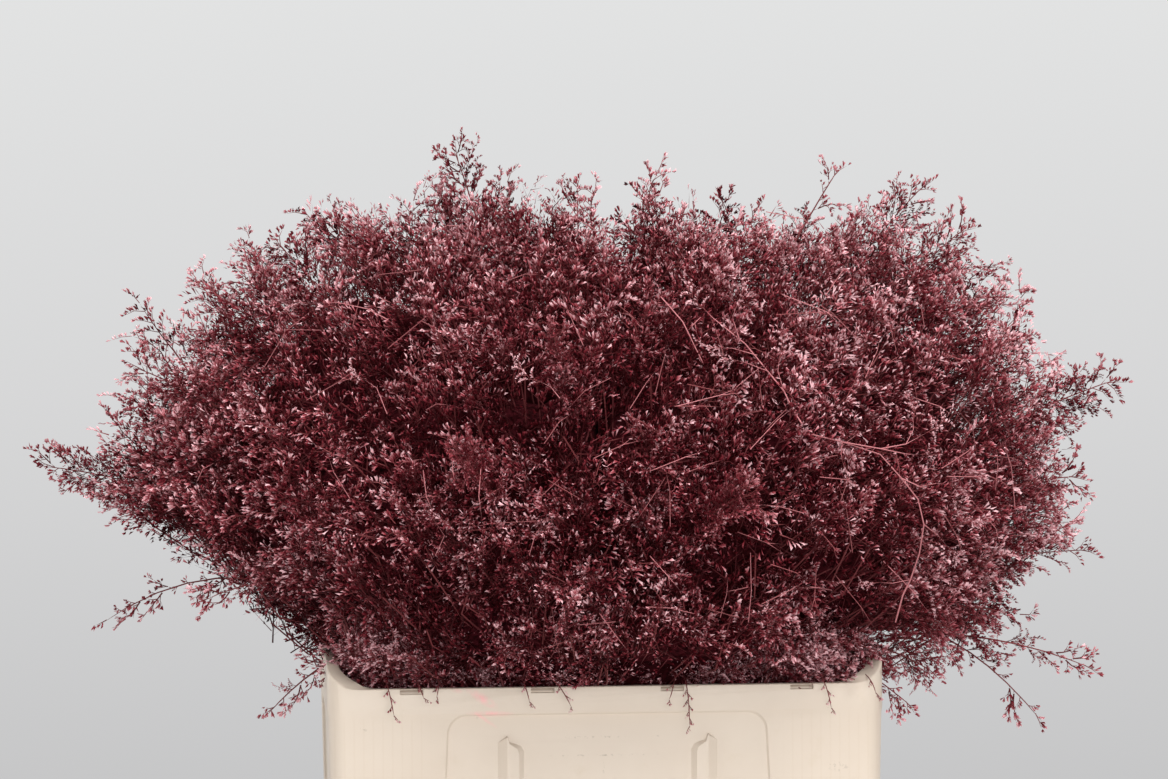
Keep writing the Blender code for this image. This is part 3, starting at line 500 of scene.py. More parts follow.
def floret_tips(mesh):
    """The CAD corners that stand highest among their neighbours, and the middle of what is round each."""
    points, faces = mesh_arrays(mesh)
    _, first, back = np.unique(np.round(points, 6), axis=0, return_index=True, return_inverse=True)
    points, faces = points[first], back.ravel()[faces]
    edges = np.concatenate([faces[:, (0, 1)], faces[:, (1, 2)], faces[:, (2, 0)]])
    edges = np.unique(np.concatenate([edges, edges[:, ::-1]]), axis=0)
    away = norm(points - CENTRE, axis=1)
    highest = np.zeros(len(points))
    np.maximum.at(highest, edges[:, 0], away[edges[:, 1]])
    total = np.zeros((len(points), 3))
    number = np.zeros(len(points))
    np.add.at(total, edges[:, 0], points[edges[:, 1]])
    np.add.at(number, edges[:, 0], 1)
    chosen = (away > highest + STANDS_OUT) & (number >= 3)
    return points[chosen], total[chosen] / number[chosen][:, None]


def largest_island(count, faces):
    """Which faces belong to the body with the most corners."""
    label = np.arange(count)
    while True:
        low = label[faces].min(axis=1)
        new = label.copy()
        np.minimum.at(new, faces.ravel(), np.repeat(low, 3))
        if (new == label).all():
            break
        label = new[new]
    return label[faces[:, 0]] == np.bincount(label).argmax()


def core_mesh(name):
    """A rough body inside the head, smaller than the CAD one on all sides, that carries near-black painted
    shade.
    """
    body = linked(name + "_core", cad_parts[name].data.copy())
    adjusted(body.modifiers.new("remesh", "REMESH"), mode="VOXEL", voxel_size=CORE_GRAIN)
    evaluated(body)
    points, faces = mesh_arrays(body.data)
    bpy.data.objects.remove(body)
    reach = norm(points - CENTRE, axis=1, keepdims=True)
    above = np.clip((points[:, 2:] - RIM + 0.01) / 0.05, 0, 1)
    points -= outward(points) * CORE_DEPTH * np.clip((reach - 0.14) / 0.12, 0, 1) * above
    used, back = np.unique(faces[largest_island(len(points), faces)], return_inverse=True)
    return points[used], back.reshape(-1, 3)


# Materials


def new_material(name, roughness, specular=0.5, colour=(0.8, 0.8, 0.8)):
    """A material, its node tree and the input for its colour."""
    made = bpy.data.materials.new(name)
    made.use_nodes = True
    inputs = made.node_tree.nodes["Principled BSDF"].inputs
    inputs["Roughness"].default_value = roughness
    inputs["Specular IOR Level"].default_value = specular
    inputs["Base Color"].default_value = (*colour, 1.0)
    return made, made.node_tree, inputs["Base Color"]


def add_node(tree, kind, inputs, **settings):
    """A node with its settings, and in each input a value or another node's output."""
    node = adjusted(tree.nodes.new("ShaderNode" + kind), **settings)
    for key, value in inputs.items():
        socket = node.inputs[key]
        if isinstance(value, bpy.types.NodeSocket):
            tree.links.new(value, socket)
        else:
            socket.default_value = (*value, 1.0) if socket.type == "RGBA" else value
    return node


def coordinates(tree, kind="Object"):
    return add_node(tree, "TexCoord", {}).outputs[kind]


def tone_of(tree):
    return add_node(tree, "Attribute", {}, attribute_name="tone").outputs["Fac"]


def noise_of(tree, scale, detail=3.0, roughness=0.55):
    inputs = {"Vector": coordinates(tree), "Scale": scale, "Detail": detail, "Roughness": roughness}
    return add_node(tree, "TexNoise", inputs).outputs["Fac"]


def calculated(tree, operation, *values):
    return add_node(tree, "Math", dict(enumerate(values)), operation=operation).outputs[0]


def product(tree, first, *others):
    for other in others:
        first = calculated(tree, "MULTIPLY", first, other)
    return first


def cut_off(tree, value, low, high, strength=1.0):
    """A value stretched between two levels, clamped and scaled."""
    inputs = {"Value": value, "From Min": low, "From Max": high, "To Max": strength}
    return add_node(tree, "MapRange", inputs).outputs[0]


def ramp(tree, value, stops):
    node = add_node(tree, "ValToRGB", {0: value})
    elements = node.color_ramp.elements
    while len(elements) < len(stops):
        elements.new(0.5)
    for element, (position, colour) in zip(elements, stops):
        element.position = position
        element.color = (*colour, 1.0)
    return node.outputs[0]


def laid_over(tree, factor, below, above):
    """One colour laid over another by a factor, on the mix node's sockets for colours."""
    return add_node(tree, "Mix", {0: factor, 6: below, 7: above}, data_type="RGBA").outputs[2]


def blob(tree, centre, size, turn):
    """A soft oval spot on the crate's front, from 1 in its middle to 0 at its edge."""
    inputs = {
        "Vector": coordinates(tree),
        "Location": (centre[0] / MM, -CRATE_WIDTH / 2, RIM + centre[1] / MM),
        "Rotation": (0, turn, 0),
        "Scale": (size[0] / MM, 0.05, size[1] / MM),
    }
    spot = add_node(tree, "Mapping", inputs, vector_type="TEXTURE").outputs[0]
    return add_node(tree, "TexGradient", {0: spot}, gradient_type="SPHERICAL").outputs["Fac"]


def floret_material():
    made, tree, base = new_material("dyed_florets", 0.6, 0.05)
    # The tone attribute holds the dye's own tone and also the painted shade and painted light set in place
    # and sprigs_at
    broad = calculated(tree, "MULTIPLY_ADD", noise_of(tree, 14.0), 0.5, -0.25)
    total = calculated(tree, "ADD", tone_of(tree), broad)
    total = calculated(tree, "MULTIPLY_ADD", total, 1.35, -0.17)
    tree.links.new(ramp(tree, total, FLORET_COLOURS), base)
    return made


def twig_material():
    made, tree, base = new_material("dyed_twigs", 0.6, 0.1)
    # The tone attribute holds the stems' own tone and, inside sprigs, painted shade
    tree.links.new(ramp(tree, tone_of(tree), TWIG_COLOURS), base)
    return made


def shade_core_material():
    # Near-black painted shade for the body inside each head, seen through gaps between the sprigs
    made, tree, base = new_material("painted_shade_core", 0.9, 0.03)
    tree.links.new(ramp(tree, noise_of(tree, 260.0, 2.0), CORE_SHADE_COLOURS), base)
    return made


def crate_material():
    """Cream plastic with stains, faint upright lines, shaded slots, pink smudges and dark scuffs."""
    made, tree, base = new_material("cream_plastic", 0.48, 0.4)
    colour = ramp(tree, noise_of(tree, 9.0, 5.0, 0.6), CREAMS)
    stains = cut_off(tree, noise_of(tree, 38.0, 6.0, 0.7), 0.62, 0.80, 0.28)
    colour = laid_over(tree, stains, colour, STAIN)

    # Upright lines beside the panels, below the band round the rim
    spot = coordinates(tree)
    x, y, z = add_node(tree, "SeparateXYZ", {0: spot}).outputs
    across = calculated(tree, "ABSOLUTE", x)
    waves = {"Vector": spot, "Scale": 46.0, "Distortion": 0.6, "Detail Scale": 6.0}
    faint = cut_off(tree, add_node(tree, "TexWave", waves).outputs["Fac"], 0.86, 1.0, 0.16)
    beside = cut_off(tree, across, 0.124, 0.134)
    below = cut_off(tree, z, RIM - 0.018, RIM - 0.024)
    colour = laid_over(tree, product(tree, faint, beside, below), colour, FAINT_LINE)

    # The rim's slots lie in shade
    gaps = [calculated(tree, "ABSOLUTE", calculated(tree, "SUBTRACT", across, centre))
            for centre in NOTCH_CENTRES[2:]]
    half = NOTCH_SIZE[0] / 2
    inside = cut_off(tree, calculated(tree, "MINIMUM", *gaps), half + 0.0001, half - 0.0004)
    upper = cut_off(tree, z, RIM - 0.0034, RIM - 0.0024)
    behind = cut_off(tree, calculated(tree, "ABSOLUTE", y), 0.1496, 0.1490, 0.8)
    colour = laid_over(tree, product(tree, inside, upper, behind), colour, SLOT_SHADE)

    worn = cut_off(tree, noise_of(tree, 210.0, 4.0, 0.7), 0.30, 0.62)
    for centre, size, turn, strength in SMUDGES:
        spot = product(tree, blob(tree, centre, size, turn), strength, worn)
        colour = laid_over(tree, spot, colour, SMUDGE)
    scratched = cut_off(tree, noise_of(tree, 420.0, 2.0, 0.5), 0.52, 0.68, 0.55)
    for centre, size, turn in SCUFFS:
        spot = product(tree, cut_off(tree, blob(tree, centre, size, turn), 0.0, 0.5), scratched)
        colour = laid_over(tree, spot, colour, SCUFF)
    tree.links.new(colour, base)
    return made


# The plant


def waist(points):
    """How far the low sides draw in above the crate."""
    across = outward(points)[:, 0]
    drawn = np.zeros(len(points))
    for side, middle, half, full, depth in WAISTS:
        near = np.clip(full - np.abs(points[:, 2] - RIM - middle) / half, 0, 1)
        drawn += np.clip(side * across, 0, 1) ** 2 * near * depth
    return drawn


def from_middle(points, middle, halves):
    """How far each place is from a middle on the front (x and height above the rim), in its half sizes."""
    return np.hypot((points[:, 0] - middle[0]) / halves[0], (points[:, 2] - RIM - middle[1]) / halves[1])


def hollow(points):
    """How far each place sinks into the mass, from 0 to 1, in patches some 60 mm wide."""
    found = np.array([noise.noise(Vector(p) * HOLLOW_PITCH + HOLLOW_START) for p in points])
    facing = np.clip((np.abs(outward(points)[:, 1]) - 0.25) / 0.35, 0, 1)
    parting = np.clip(1.3 - from_middle(points, PARTING, PARTING_HALVES), 0, 1)
    cushion = np.clip(1 - (points[:, 2] - RIM) / CUSHION_HEIGHT, 0, 1)
    sunk = -found - HOLLOW_FROM + parting * PARTING_STRENGTH - cushion * CUSHION_STRENGTH
    return np.clip(sunk / HOLLOW_RUN, 0, 1) * facing


class Heads:
    """The CAD heads, read back from their florets, and what grows on each bunch."""

    def __init__(self):
        free = np.array([row[:3] for row in LONG_SPRAYS + STOOD_IN_TIPS]) / MM + (0, 0, RIM)
        rows = []
        for index, name in enumerate(BUNCHES):
            tips, bases = floret_tips(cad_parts[name].data)
            gap = norm(tips[:, None] - free[None], axis=2).min(axis=1)
            chosen = (norm(tips - bases, axis=1) > LEAST_FLORET) & (gap > CLEAR_OF_SPRAYS)
            rows.append((np.full(chosen.sum(), index), tips[chosen], bases[chosen]))
        self.owners, self.tips, self.bases = (np.concatenate(parts) for parts in zip(*rows))
        self.growths = [Growth() for _ in BUNCHES]
        self.ways = outward(self.tips)
        self.reach = norm(self.tips - CENTRE, axis=1)
        self.plumes = self.tips[:1]
        for tip in self.tips[rng.permutation(len(self.tips))]:
            if norm(self.plumes - tip, axis=1).min() > PLUME_WIDTH:
                self.plumes = np.vstack((self.plumes, tip))

    def plume_at(self, points):
        """How far each point is from the middle of its plume, as a share, and where the plume branches."""
        gaps = norm(points[:, None] - self.plumes[None], axis=2)
        middle = self.plumes[gaps.argmin(axis=1)]
        away = np.clip(gaps.min(axis=1) / (PLUME_WIDTH * 0.65), 0, 1)
        return away, middle - outward(middle) * PLUME_ROOT

    def reach_at(self, points):
        """How far the head reaches in the direction of each point."""
        match = outward(points) @ self.ways.T
        nearest = np.argpartition(-match, 4, axis=1)[:, :4]
        return self.reach[nearest].mean(axis=1)

    def owner_at(self, points):
        match = outward(points) @ self.ways.T
        return self.owners[match.argmax(axis=1)]

    def growth_at(self, point):
        return self.growths[self.owner_at(point[None])[0]]

    def between(self, count):
        """Places between neighbouring florets, across the seams between bunches too."""
        first = rng.integers(0, len(self.tips), count)
        gaps = norm(self.tips[first][:, None] - self.tips[None], axis=2)
        nearest = np.argsort(gaps, axis=1)[:, 1:7]
        second = nearest[np.arange(count), rng.integers(0, 6, count)]
        share = rng.uniform(0.2, 0.8, count)[:, None]
        tips, bases = (rows[first] * (1 - share) + rows[second] * share for rows in (self.tips, self.bases))
        return self.owners[first], tips, bases


def outside(heads, points):
    """Which points lie outside the heads, or below the rim and past the mouth."""
    far = norm(points - CENTRE, axis=1) > heads.reach_at(points) * ROOM_FOR_ROOTS
    past = (np.abs(points[:, :2]) > MOUTH_HALF - 0.01).any(axis=1)
    return far | (past & (points[:, 2] < RIM + 0.004))


def in_mouth(points, share, depth):
    """Where the stems of what grows at the points come through the mouth."""
    return points * (share, share, 0) + (0, 0, RIM - depth)


def sprigs_at(heads, tips, bases, sink, spread):
    """Roots, directions, lengths, bends and tones of sprigs that end near the tips."""
    count = len(tips)
    out = outward(tips)
    away, branching = heads.plume_at(tips)
    drawn = waist(tips)
    sunk = hollow(tips) * HOLLOW_DEPTH + drawn + PLUME_DEPTH * (away ** 1.5 - 0.6)
    edge = np.clip((out * LACE_SIDES).max(axis=1) - LACE_FROM, 0, 1 - LACE_FROM) / (1 - LACE_FROM)
    edge = edge + np.clip((-out[:, 0] - LACE_LEFT_FROM) / LACE_LEFT_RUN, 0, 1)
    lace = np.where(rng.random(count) < LACE_SHARE, 0.0, LACE_DEPTH) * np.clip(edge, 0, 1)
    sunk = sunk + lace + rng.uniform(*sink, count)
    goals = tips + rng.normal(0, TIP_SCATTER, (count, 3)) - out * sunk[:, None]
    straight = unit(goals - in_mouth(goals, 0.35, 0.02))
    lengths = rng.uniform(*SPRIG_LENGTHS, count)
    bends = unit(rng.normal(size=(count, 3))) * rng.uniform(0.002, 0.012, count)[:, None]
    bends[:, 2] -= rng.uniform(0, 0.005, count)
    ways = unit(unit(goals - bases) * 0.4 + unit(goals - branching) + rng.normal(0, spread, (count, 3)))
    ways = unit(ways + UPRIGHT)
    roots = goals - ways * lengths[:, None] - bends
    for tries in range(5):
        bad = outside(heads, roots)
        scatter = rng.normal(0, spread * (1 - tries * 0.22), (count, 3))
        ways[bad] = unit(straight[bad] + scatter[bad])
        roots[bad] = (goals - ways * lengths[:, None] - bends)[bad]
    # Painted shade: sprigs that sink into the mass are darker
    tones = rng.normal(SPRIG_TONE, SPRIG_TONES, count) - SUNK_SHADE * (sunk - drawn)
    # Painted light: sprigs that face the upper right are paler
    tones += PAINTED_LIGHT * np.clip((out @ PAINTED_LIGHT_WAY - PAINTED_LIGHT_FROM) / PAINTED_LIGHT_RUN, 0, 1)
    # Painted shade: the middle of the front, facing forward, is darker
    dark = np.clip(1.4 - from_middle(tips, SHADED_MIDDLE, SHADED_HALVES), 0, 1)
    tones -= MIDDLE_SHADE * dark * np.clip(-out[:, 1] / 0.4, 0, 1)
    return roots, ways, lengths, bends, tones


def mouth_at(shares):
    """Places on the inner edge of the mouth and the directions straight out over it."""
    angles = np.linspace(0, 2 * math.pi, 721)
    c, s = np.cos(angles), np.sin(angles)
    power = 2 / MOUTH_SQUARE
    ring = np.column_stack((np.sign(c) * np.abs(c) ** power, np.sign(s) * np.abs(s) ** power)) * MOUTH_HALF
    along = np.append(0, np.cumsum(norm(np.diff(ring, axis=0), axis=1)))
    ring = np.column_stack([np.interp(shares * along[-1], along, ring[:, k]) for k in (0, 1)])
    out = np.zeros((len(shares), 3))
    out[:, :2] = unit(ring / MOUTH_HALF ** 2 * np.abs(ring / MOUTH_HALF) ** (MOUTH_SQUARE - 2))
    return np.column_stack((ring, np.full(len(shares), RIM))), out


def collar_sprigs(count, shares, reach, height, tone):
    """Sprigs that lean out to the crate's rim and over it."""
    edge, out = mouth_at(rng.uniform(*shares, count))
    goals = edge + out * rng.uniform(*np.array(reach) / MM, count)[:, None]
    goals[:, 2] += rng.uniform(*np.array(height) / MM, count)
    along = np.cross(out, (0, 0, 1.0)) * rng.normal(0, 0.6, count)[:, None]
    ways = unit(out + along + rng.uniform(0.1, 0.9, count)[:, None] * (0, 0, 1.0))
    lengths = rng.uniform(*COLLAR_LENGTHS, count)
    bends = out * rng.uniform(0, 0.006, count)[:, None]
    bends[:, 2] -= rng.uniform(0.002, 0.012, count)
    roots = goals - ways * lengths[:, None] - bends
    roots[:, 2] = np.maximum(roots[:, 2], RIM - 0.01)
    return goals, (roots, ways, lengths, bends, rng.normal(tone, COLLAR_TONES, count))


def share_out(heads, owners, templates, sprigs, stalk_share, shaded=INNER_SHADE):
    """Sets sprigs on the bunches that own them, with the stalk behind some, towards the mouth."""
    for index, growth in enumerate(heads.growths):
        roots, ways, lengths, bends, tones = (rows[owners == index] for rows in sprigs)
        kinds = rng.integers(0, len(templates), len(roots))
        for k, template in enumerate(templates):
            m = kinds == k
            place(growth, template, roots[m], ways[m], lengths[m], bends[m], tones[m], shaded)
        for root, way in zip(roots, ways):
            if rng.random() > stalk_share:
                continue
            down = in_mouth(root, 0.4, 0.03) - root
            back = root + unit(down) * min(rng.uniform(*STALK_LENGTHS), norm(down) * 0.9)
            bend = root + (back - root) * 0.4 - way * 0.22 * norm(back - root)
            growth.stem([root + way * 0.004, bend, back], STALK_RADII, STALK_TONE)


def rim_twigs(heads):
    """Thin twigs with a few small spikelets that hang over the front edge."""
    for x, drop, lean in np.array(RIM_TWIGS) / MM:
        start = np.array((x - lean * 0.4, -MOUTH_HALF[1] - 0.004, RIM + 0.006))
        over = np.array((x, -MOUTH_HALF[1] - 0.032, RIM + 0.004))
        end = np.array((x + lean, -MOUTH_HALF[1] - 0.030, RIM - drop))
        growth = heads.growth_at(start)
        path = on_curve(start, over, end, np.linspace(0, 1, 7))
        growth.stem(path, np.full(6, RIM_TWIG_RADIUS), RIM_TWIG_TONE)
        for k, share in enumerate(np.linspace(0.45, 0.97, max(2, round(drop / 0.0045)))):
            root = spot_on(start, over, end, share)
            out = unit(np.array((1.0 if k % 2 else -1.0, rng.normal(0, 0.3), 0.2)))
            add_comb(growth, root, unit(end - over), out, HANGING_OPENING, 0.005, 0.5, True, 0.5)


def rim_stems(heads):
    """Bare forked stems that lean from the mouth into the heads, seen under the sprigs."""
    for edge, out in zip(*mouth_at(rng.uniform(0, 1, RIM_STEMS))):
        along = np.cross(out, (0, 0, 1.0)) * rng.normal(0, 1)
        foot = edge - out * rng.uniform(0.02, 0.06) - along * 0.02 + (0, 0, -0.03)
        fork = edge - out * rng.uniform(0.0, 0.03) + along * 0.01 + (0, 0, rng.uniform(0.012, 0.04))
        growth = heads.growth_at(fork)
        tone = rng.uniform(*RIM_STEM_TONES)
        path = [foot, (foot + fork) / 2, fork + (fork - foot) * 0.03]
        growth.stem(path, RIM_STEM_RADII, tone, 4)
        for _ in range(3):
            end = fork + out * rng.uniform(0.0, 0.035) + along * rng.uniform(-0.01, 0.03)
            end = end + rng.normal(0, 0.008, 3) + (0, 0, rng.uniform(0.02, 0.06))
            growth.stem([fork, (fork + end) / 2 + (0, 0, 0.004), end], FORK_RADII, tone)


def long_spray(growth, sprigs, fans, start, middle, tip, leaf_from, size, leafy):
    """A thin arching branch with sprigs, combs and small fans on alternate sides of its outer part."""
    tone = SPRAY_TONE
    length = norm(middle - start) + norm(tip - middle)
    growth.stem(on_curve(start, middle, tip, np.linspace(0, 1, 9)), np.linspace(*SPRAY_RADII, 8), tone, 4)
    facing = np.array((0.0, -1.0, 0.0)) if abs(tip[1]) < 0.2 else np.array((1.0, 0.0, 0.2))
    facing = unit(facing + rng.normal(0, 0.25, 3))

    def sides(number, first, last):
        for k in range(number):
            share = first + (last - first) * (k + rng.uniform(0.0, 0.8)) / number
            ahead = ahead_on(start, middle, tip, share)
            out = unit(np.cross(ahead, facing))
            if out[2] < 0 and rng.random() < 0.3:
                out = -out
            out = unit(out * (1 if k % 2 else -1) + rng.normal(0, 0.2, 3))
            yield share, spot_on(start, middle, tip, share), ahead, out

    for share, root, ahead, out in sides(round(leafy * length / 0.008), leaf_from * 0.5, 0.80):
        way = unit(ahead * math.cos(0.55) + out * math.sin(0.55))
        reach = rng.uniform(0.032, 0.050) * (1.25 - 0.75 * share) * size
        place_one(growth, pick(sprigs), root, way, reach, rng.normal(0, 0.002, 3), rng.normal(0.02, 0.06))
    spacing = 0.0062 if leafy > 0.3 else 0.0085
    for share, root, ahead, out in sides(max(3, round(length * (1 - leaf_from) / spacing)), leaf_from, 0.94):
        reach = rng.uniform(0.014, 0.026) * (1.15 - 0.5 * share) * size * (0.65 + 0.35 * leafy)
        if rng.random() < FAN_SHARE:
            way = unit(ahead * math.cos(0.7) + out * math.sin(0.7))
            foot = root + way * reach * 0.35
            growth.stem([root, foot], [TWIG_RADIUS], tone)
            fan, fan_length = pick(fans), FAN_LENGTH * rng.uniform(0.75, 1.1)
            place_one(growth, fan, foot, way, fan_length, np.zeros(3), rng.normal(0.12, 0.06))
        else:
            add_comb(growth, root, ahead, out, SPRAY_OPENING, reach, tone + 0.1, True, 0.70 + 0.30 * leafy)
    last = unit(tip - middle)
    side = unit(np.cross(last, facing))
    add_comb(growth, tip - last * 0.013 * size, last, side, END_OPENING, 0.017 * size, tone + 0.1, True)


def sprays(heads, sprigs, fans):
    for x, y, z, spike, leafy, *arch in LONG_SPRAYS:
        tip = np.array((x, y, z)) / MM + (0, 0, RIM)
        rise = (arch[0] if arch else SPRAY_ARCH) / MM
        way = outward(tip)
        start = CENTRE + way * heads.reach_at(tip[None])[0] * SPRAY_ROOT
        start[2] = max(start[2], RIM + 0.02)
        side = unit(np.cross(way, rng.normal(size=3))) * 0.005
        start[2] += rise * 0.4
        middle = (start + tip) / 2 + side + np.array((0, 0, rise))
        whole = norm(tip - start)
        leaf_from = np.clip((whole - 0.10) / whole, 0.15, 0.6)
        spray = Growth()
        long_spray(spray, sprigs, fans, start, middle, tip, leaf_from, spike / MM / SPIKE_WIDTH, leafy)
        points, faces, tones, kinds = spray.arrays()
        level = tones.mean()
        heads.growth_at(tip).add(points, faces, level + (tones - level) * SPRAY_CONTRAST, kinds)


def on_front(heads, x, height):
    """The place just off the front of the heads at x and at that height above the rim."""
    near, far = FRONT_DEPTHS
    for _ in range(18):
        middle = (near + far) / 2
        point = np.array((x, middle, RIM + height))
        if norm(point - CENTRE) < heads.reach_at(point[None])[0] * 0.97 + ABOVE_FRONT:
            near = middle
        else:
            far = middle
    return point


def pale_stems(heads, sprigs):
    """Pale forked stems that lie over the front, some with a sprig at the end."""
    for radius, sprig, places in PALE_STEMS:
        radius = radius / 100 / MM
        path = np.array([on_front(heads, x / MM, height / MM) for x, height in places])
        growth = heads.growth_at(path[1])
        ahead = unit(path[-1] - path[-2])
        whole = path if sprig else np.vstack((path, path[-1] + ahead * 0.004))
        growth.stem(whole, np.linspace(radius, radius * 0.7, len(whole) - 1), 1.0, 4)
        if sprig:
            root = path[-1] - ahead * 0.004
            place_one(growth, pick(sprigs), root, ahead, sprig / MM, rng.normal(0, 0.001, 3), 0.26, 0.0)


def stray_stems(heads):
    """Thin bare stems, some of them forked, that lie over the front and the back of the heads."""
    spots = heads.tips[rng.integers(0, len(heads.tips), STRAY_STEMS)]
    facing = np.abs(outward(spots)[:, 1]) > 0.35
    for spot in spots[facing & (waist(spots) < 0.004)]:
        out = outward(spot)
        along = unit(np.cross(out, rng.normal(size=3)))
        side = np.cross(out, along) * rng.uniform(-0.3, 0.3)
        reach = rng.uniform(0.012, 0.034)
        middle = spot + side * reach * 0.4 + out * 0.005
        start = spot - along * reach - out * 0.004
        tone = rng.uniform(*STRAY_TONES)
        for turn in (0.0, rng.uniform(0.5, 1.1))[:rng.integers(1, 3)]:
            end = middle + (along + side * turn * 4) * reach * (0.8 - turn * 0.4)
            end = end + out * rng.uniform(-0.004, 0.004)
            heads.growth_at(spot).stem([start, middle, end], STRAY_RADII, tone)


def grow_heads(materials):
    heads = Heads()
    fine, light, fans = (
        [make_sprig(solid, length, combs, comb_lengths) for _ in range(TEMPLATES)]
        for solid, length, combs, comb_lengths in (
            (True, SPRIG_LENGTH, SPRIG_COMBS, SPRIG_COMB_LENGTHS),
            (False, SPRIG_LENGTH, SPRIG_COMBS, SPRIG_COMB_LENGTHS),
            (True, FAN_LENGTH, FAN_COMBS, FAN_COMB_LENGTHS),
        )
    )
    away, _ = heads.plume_at(heads.tips)
    in_front = heads.tips[:, 1] < 0.03
    levels = np.quantile(away, FINE_SHARES)
    outer = away + rng.uniform(0, 0.3, len(away)) < np.where(in_front, *levels) + 0.15
    own = (heads.owners, heads.tips, heads.bases)
    # Sprigs, where they end, how far they sink in, how much they spread and the share with a stalk
    layers = (
        (fine, [rows[outer] for rows in own], (-0.004, 0.008), 0.32, 1.0),
        (light, [rows[~outer] for rows in own], (0.0, 0.016), 0.42, 0.5),
        (light, heads.between(FILLERS), (0.002, 0.042), 0.50, 0.2),
    )
    for templates, (owners, tips, bases), sink, spread, stalk_share in layers:
        share_out(heads, owners, templates, sprigs_at(heads, tips, bases, sink, spread), stalk_share)
    for is_fine, *row in COLLAR_ROWS:
        tips, sprigs = collar_sprigs(*row)
        share_out(heads, heads.owner_at(tips), fine if is_fine else light, sprigs, 0.3, COLLAR_SHADE)
    rim_stems(heads)
    rim_twigs(heads)
    pale_stems(heads, fine)
    sprays(heads, fine, fans)
    stray_stems(heads)
    for name, growth in zip(BUNCHES, heads.growths):
        growth.add(*core_mesh(name), 0.0, CORE)
        piece = mesh_from(name + "_sprigs", *growth.arrays(), materials)
        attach(piece, "root")
        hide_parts(name)


# Stage, light and camera


def add_camera():
    data = adjusted(bpy.data.cameras.new("camera"), sensor_fit="HORIZONTAL", angle=FIELD_OF_VIEW, clip_end=50)
    toward = Vector((-math.sin(CAMERA_AZIMUTH), math.cos(CAMERA_AZIMUTH), 0))
    bpy.context.scene.camera = adjusted(
        linked("camera", data),
        location=AIM - toward * CAMERA_DISTANCE + Vector((0, 0, CAMERA_HEIGHT)),
        rotation_euler=(math.pi / 2, CAMERA_ROLL, CAMERA_AZIMUTH),
    )


def add_light(name, place_at, target_height, size, power):
    data = adjusted(bpy.data.lights.new(name, "AREA"), shape="DISK", size=size, energy=power)
    toward = Vector((0, 0, target_height)) - Vector(place_at)
    turn = toward.to_track_quat("-Z", "Y").to_euler()
    adjusted(linked(name, data), location=place_at, rotation_euler=turn)


def floor_material():
    """Pale matt floor that fades into the background towards its edge."""
    made, tree, base = new_material("studio_floor", 0.9, colour=FLOOR_COLOUR)
    away = add_node(tree, "VectorMath", {0: coordinates(tree)}, operation="LENGTH").outputs["Value"]
    levels = {"Value": away, "From Min": FLOOR_FADE, "From Max": FLOOR_RADIUS}
    fade = add_node(tree, "MapRange", levels, interpolation_type="SMOOTHSTEP").outputs[0]
    clear = add_node(tree, "BsdfTransparent", {}).outputs[0]
    mix = add_node(tree, "MixShader", {0: fade, 1: base.node.outputs[0], 2: clear})
    tree.links.new(mix.outputs[0], tree.nodes["Material Output"].inputs["Surface"])
    return made


def add_world():
    """A plain backdrop that darkens a little from top to bottom, as in the photo."""
    world = bpy.data.worlds.new("studio")
    bpy.context.scene.world = world
    world.use_nodes = True
    tree = world.node_tree
    height = add_node(tree, "SeparateXYZ", {0: coordinates(tree, "Generated")}).outputs["Z"]
    colour = ramp(tree, cut_off(tree, height, *BACKDROP_HEIGHTS), BACKDROP)
    tree.links.new(colour, tree.nodes["Background"].inputs["Color"])


def add_stage():
    turns = [2 * math.pi * k / FLOOR_STEPS for k in range(FLOOR_STEPS)]
    ring = [(math.cos(t) * FLOOR_RADIUS, math.sin(t) * FLOOR_RADIUS, 0.0) for t in turns]
    mesh = bpy.data.meshes.new("floor")
    mesh.from_pydata(ring, [], [list(range(FLOOR_STEPS))])
    mesh.materials.append(floor_material())
    floor = linked("floor", mesh)
    floor.location.z = -FLOOR_DROP
    add_world()
    for light in LIGHTS:
        add_light(*light)
    bpy.context.scene.view_settings.view_transform = "Standard"


# The crate


def rim_loop(half_length, half_width, radius, height, rise):
    """A rounded rectangle of points at one height, lifted towards the short sides."""
    points = []
    for sign_x, sign_y in ((1, 1), (-1, 1), (-1, -1), (1, -1)):
        x, y = sign_x * (half_length - radius), sign_y * (half_width - radius)
        flat = [(x - sign_x * RISE_RUN * far, sign_y * half_width, share) for far, share in RISE_BEFORE]
        for step in range(CORNER_STEPS + 1):
            turn = step / CORNER_STEPS
            angle = math.pi / 2 * (1 - turn)
            share = RISE_IN_CORNER[0] + RISE_IN_CORNER[1] * turn
            flat.append((x + sign_x * radius * math.cos(angle), y + sign_y * radius * math.sin(angle), share))
        flat += [(sign_x * half_length, y - sign_y * RISE_RUN * far, share) for far, share in RISE_AFTER]
        if sign_x == sign_y:
            flat = flat[::-1]
        points += [Vector((x, y, height + rise * share)) for x, y, share in flat]
    return points


def solid_from(name, loops):
    """A closed object that joins each loop of points to the next, with its faces pointing out."""
    count = len(loops[0])
    last = (len(loops) - 1) * count
    around = [(i, (i + 1) % count) for i in range(count)]
    faces = [list(range(count))[::-1]]
    for low in range(0, last, count):
        faces += [[low + i, low + k, low + count + k, low + count + i] for i, k in around]
    faces.append(list(range(last, last + count)))
    mesh = bpy.data.meshes.new(name)
    mesh.from_pydata([tuple(point) for loop in loops for point in loop], [], faces)
    shape = bmesh.new()
    shape.from_mesh(mesh)
    bmesh.ops.recalc_face_normals(shape, faces=shape.faces)
    shape.to_mesh(mesh)
    shape.free()
    return linked(name, mesh)


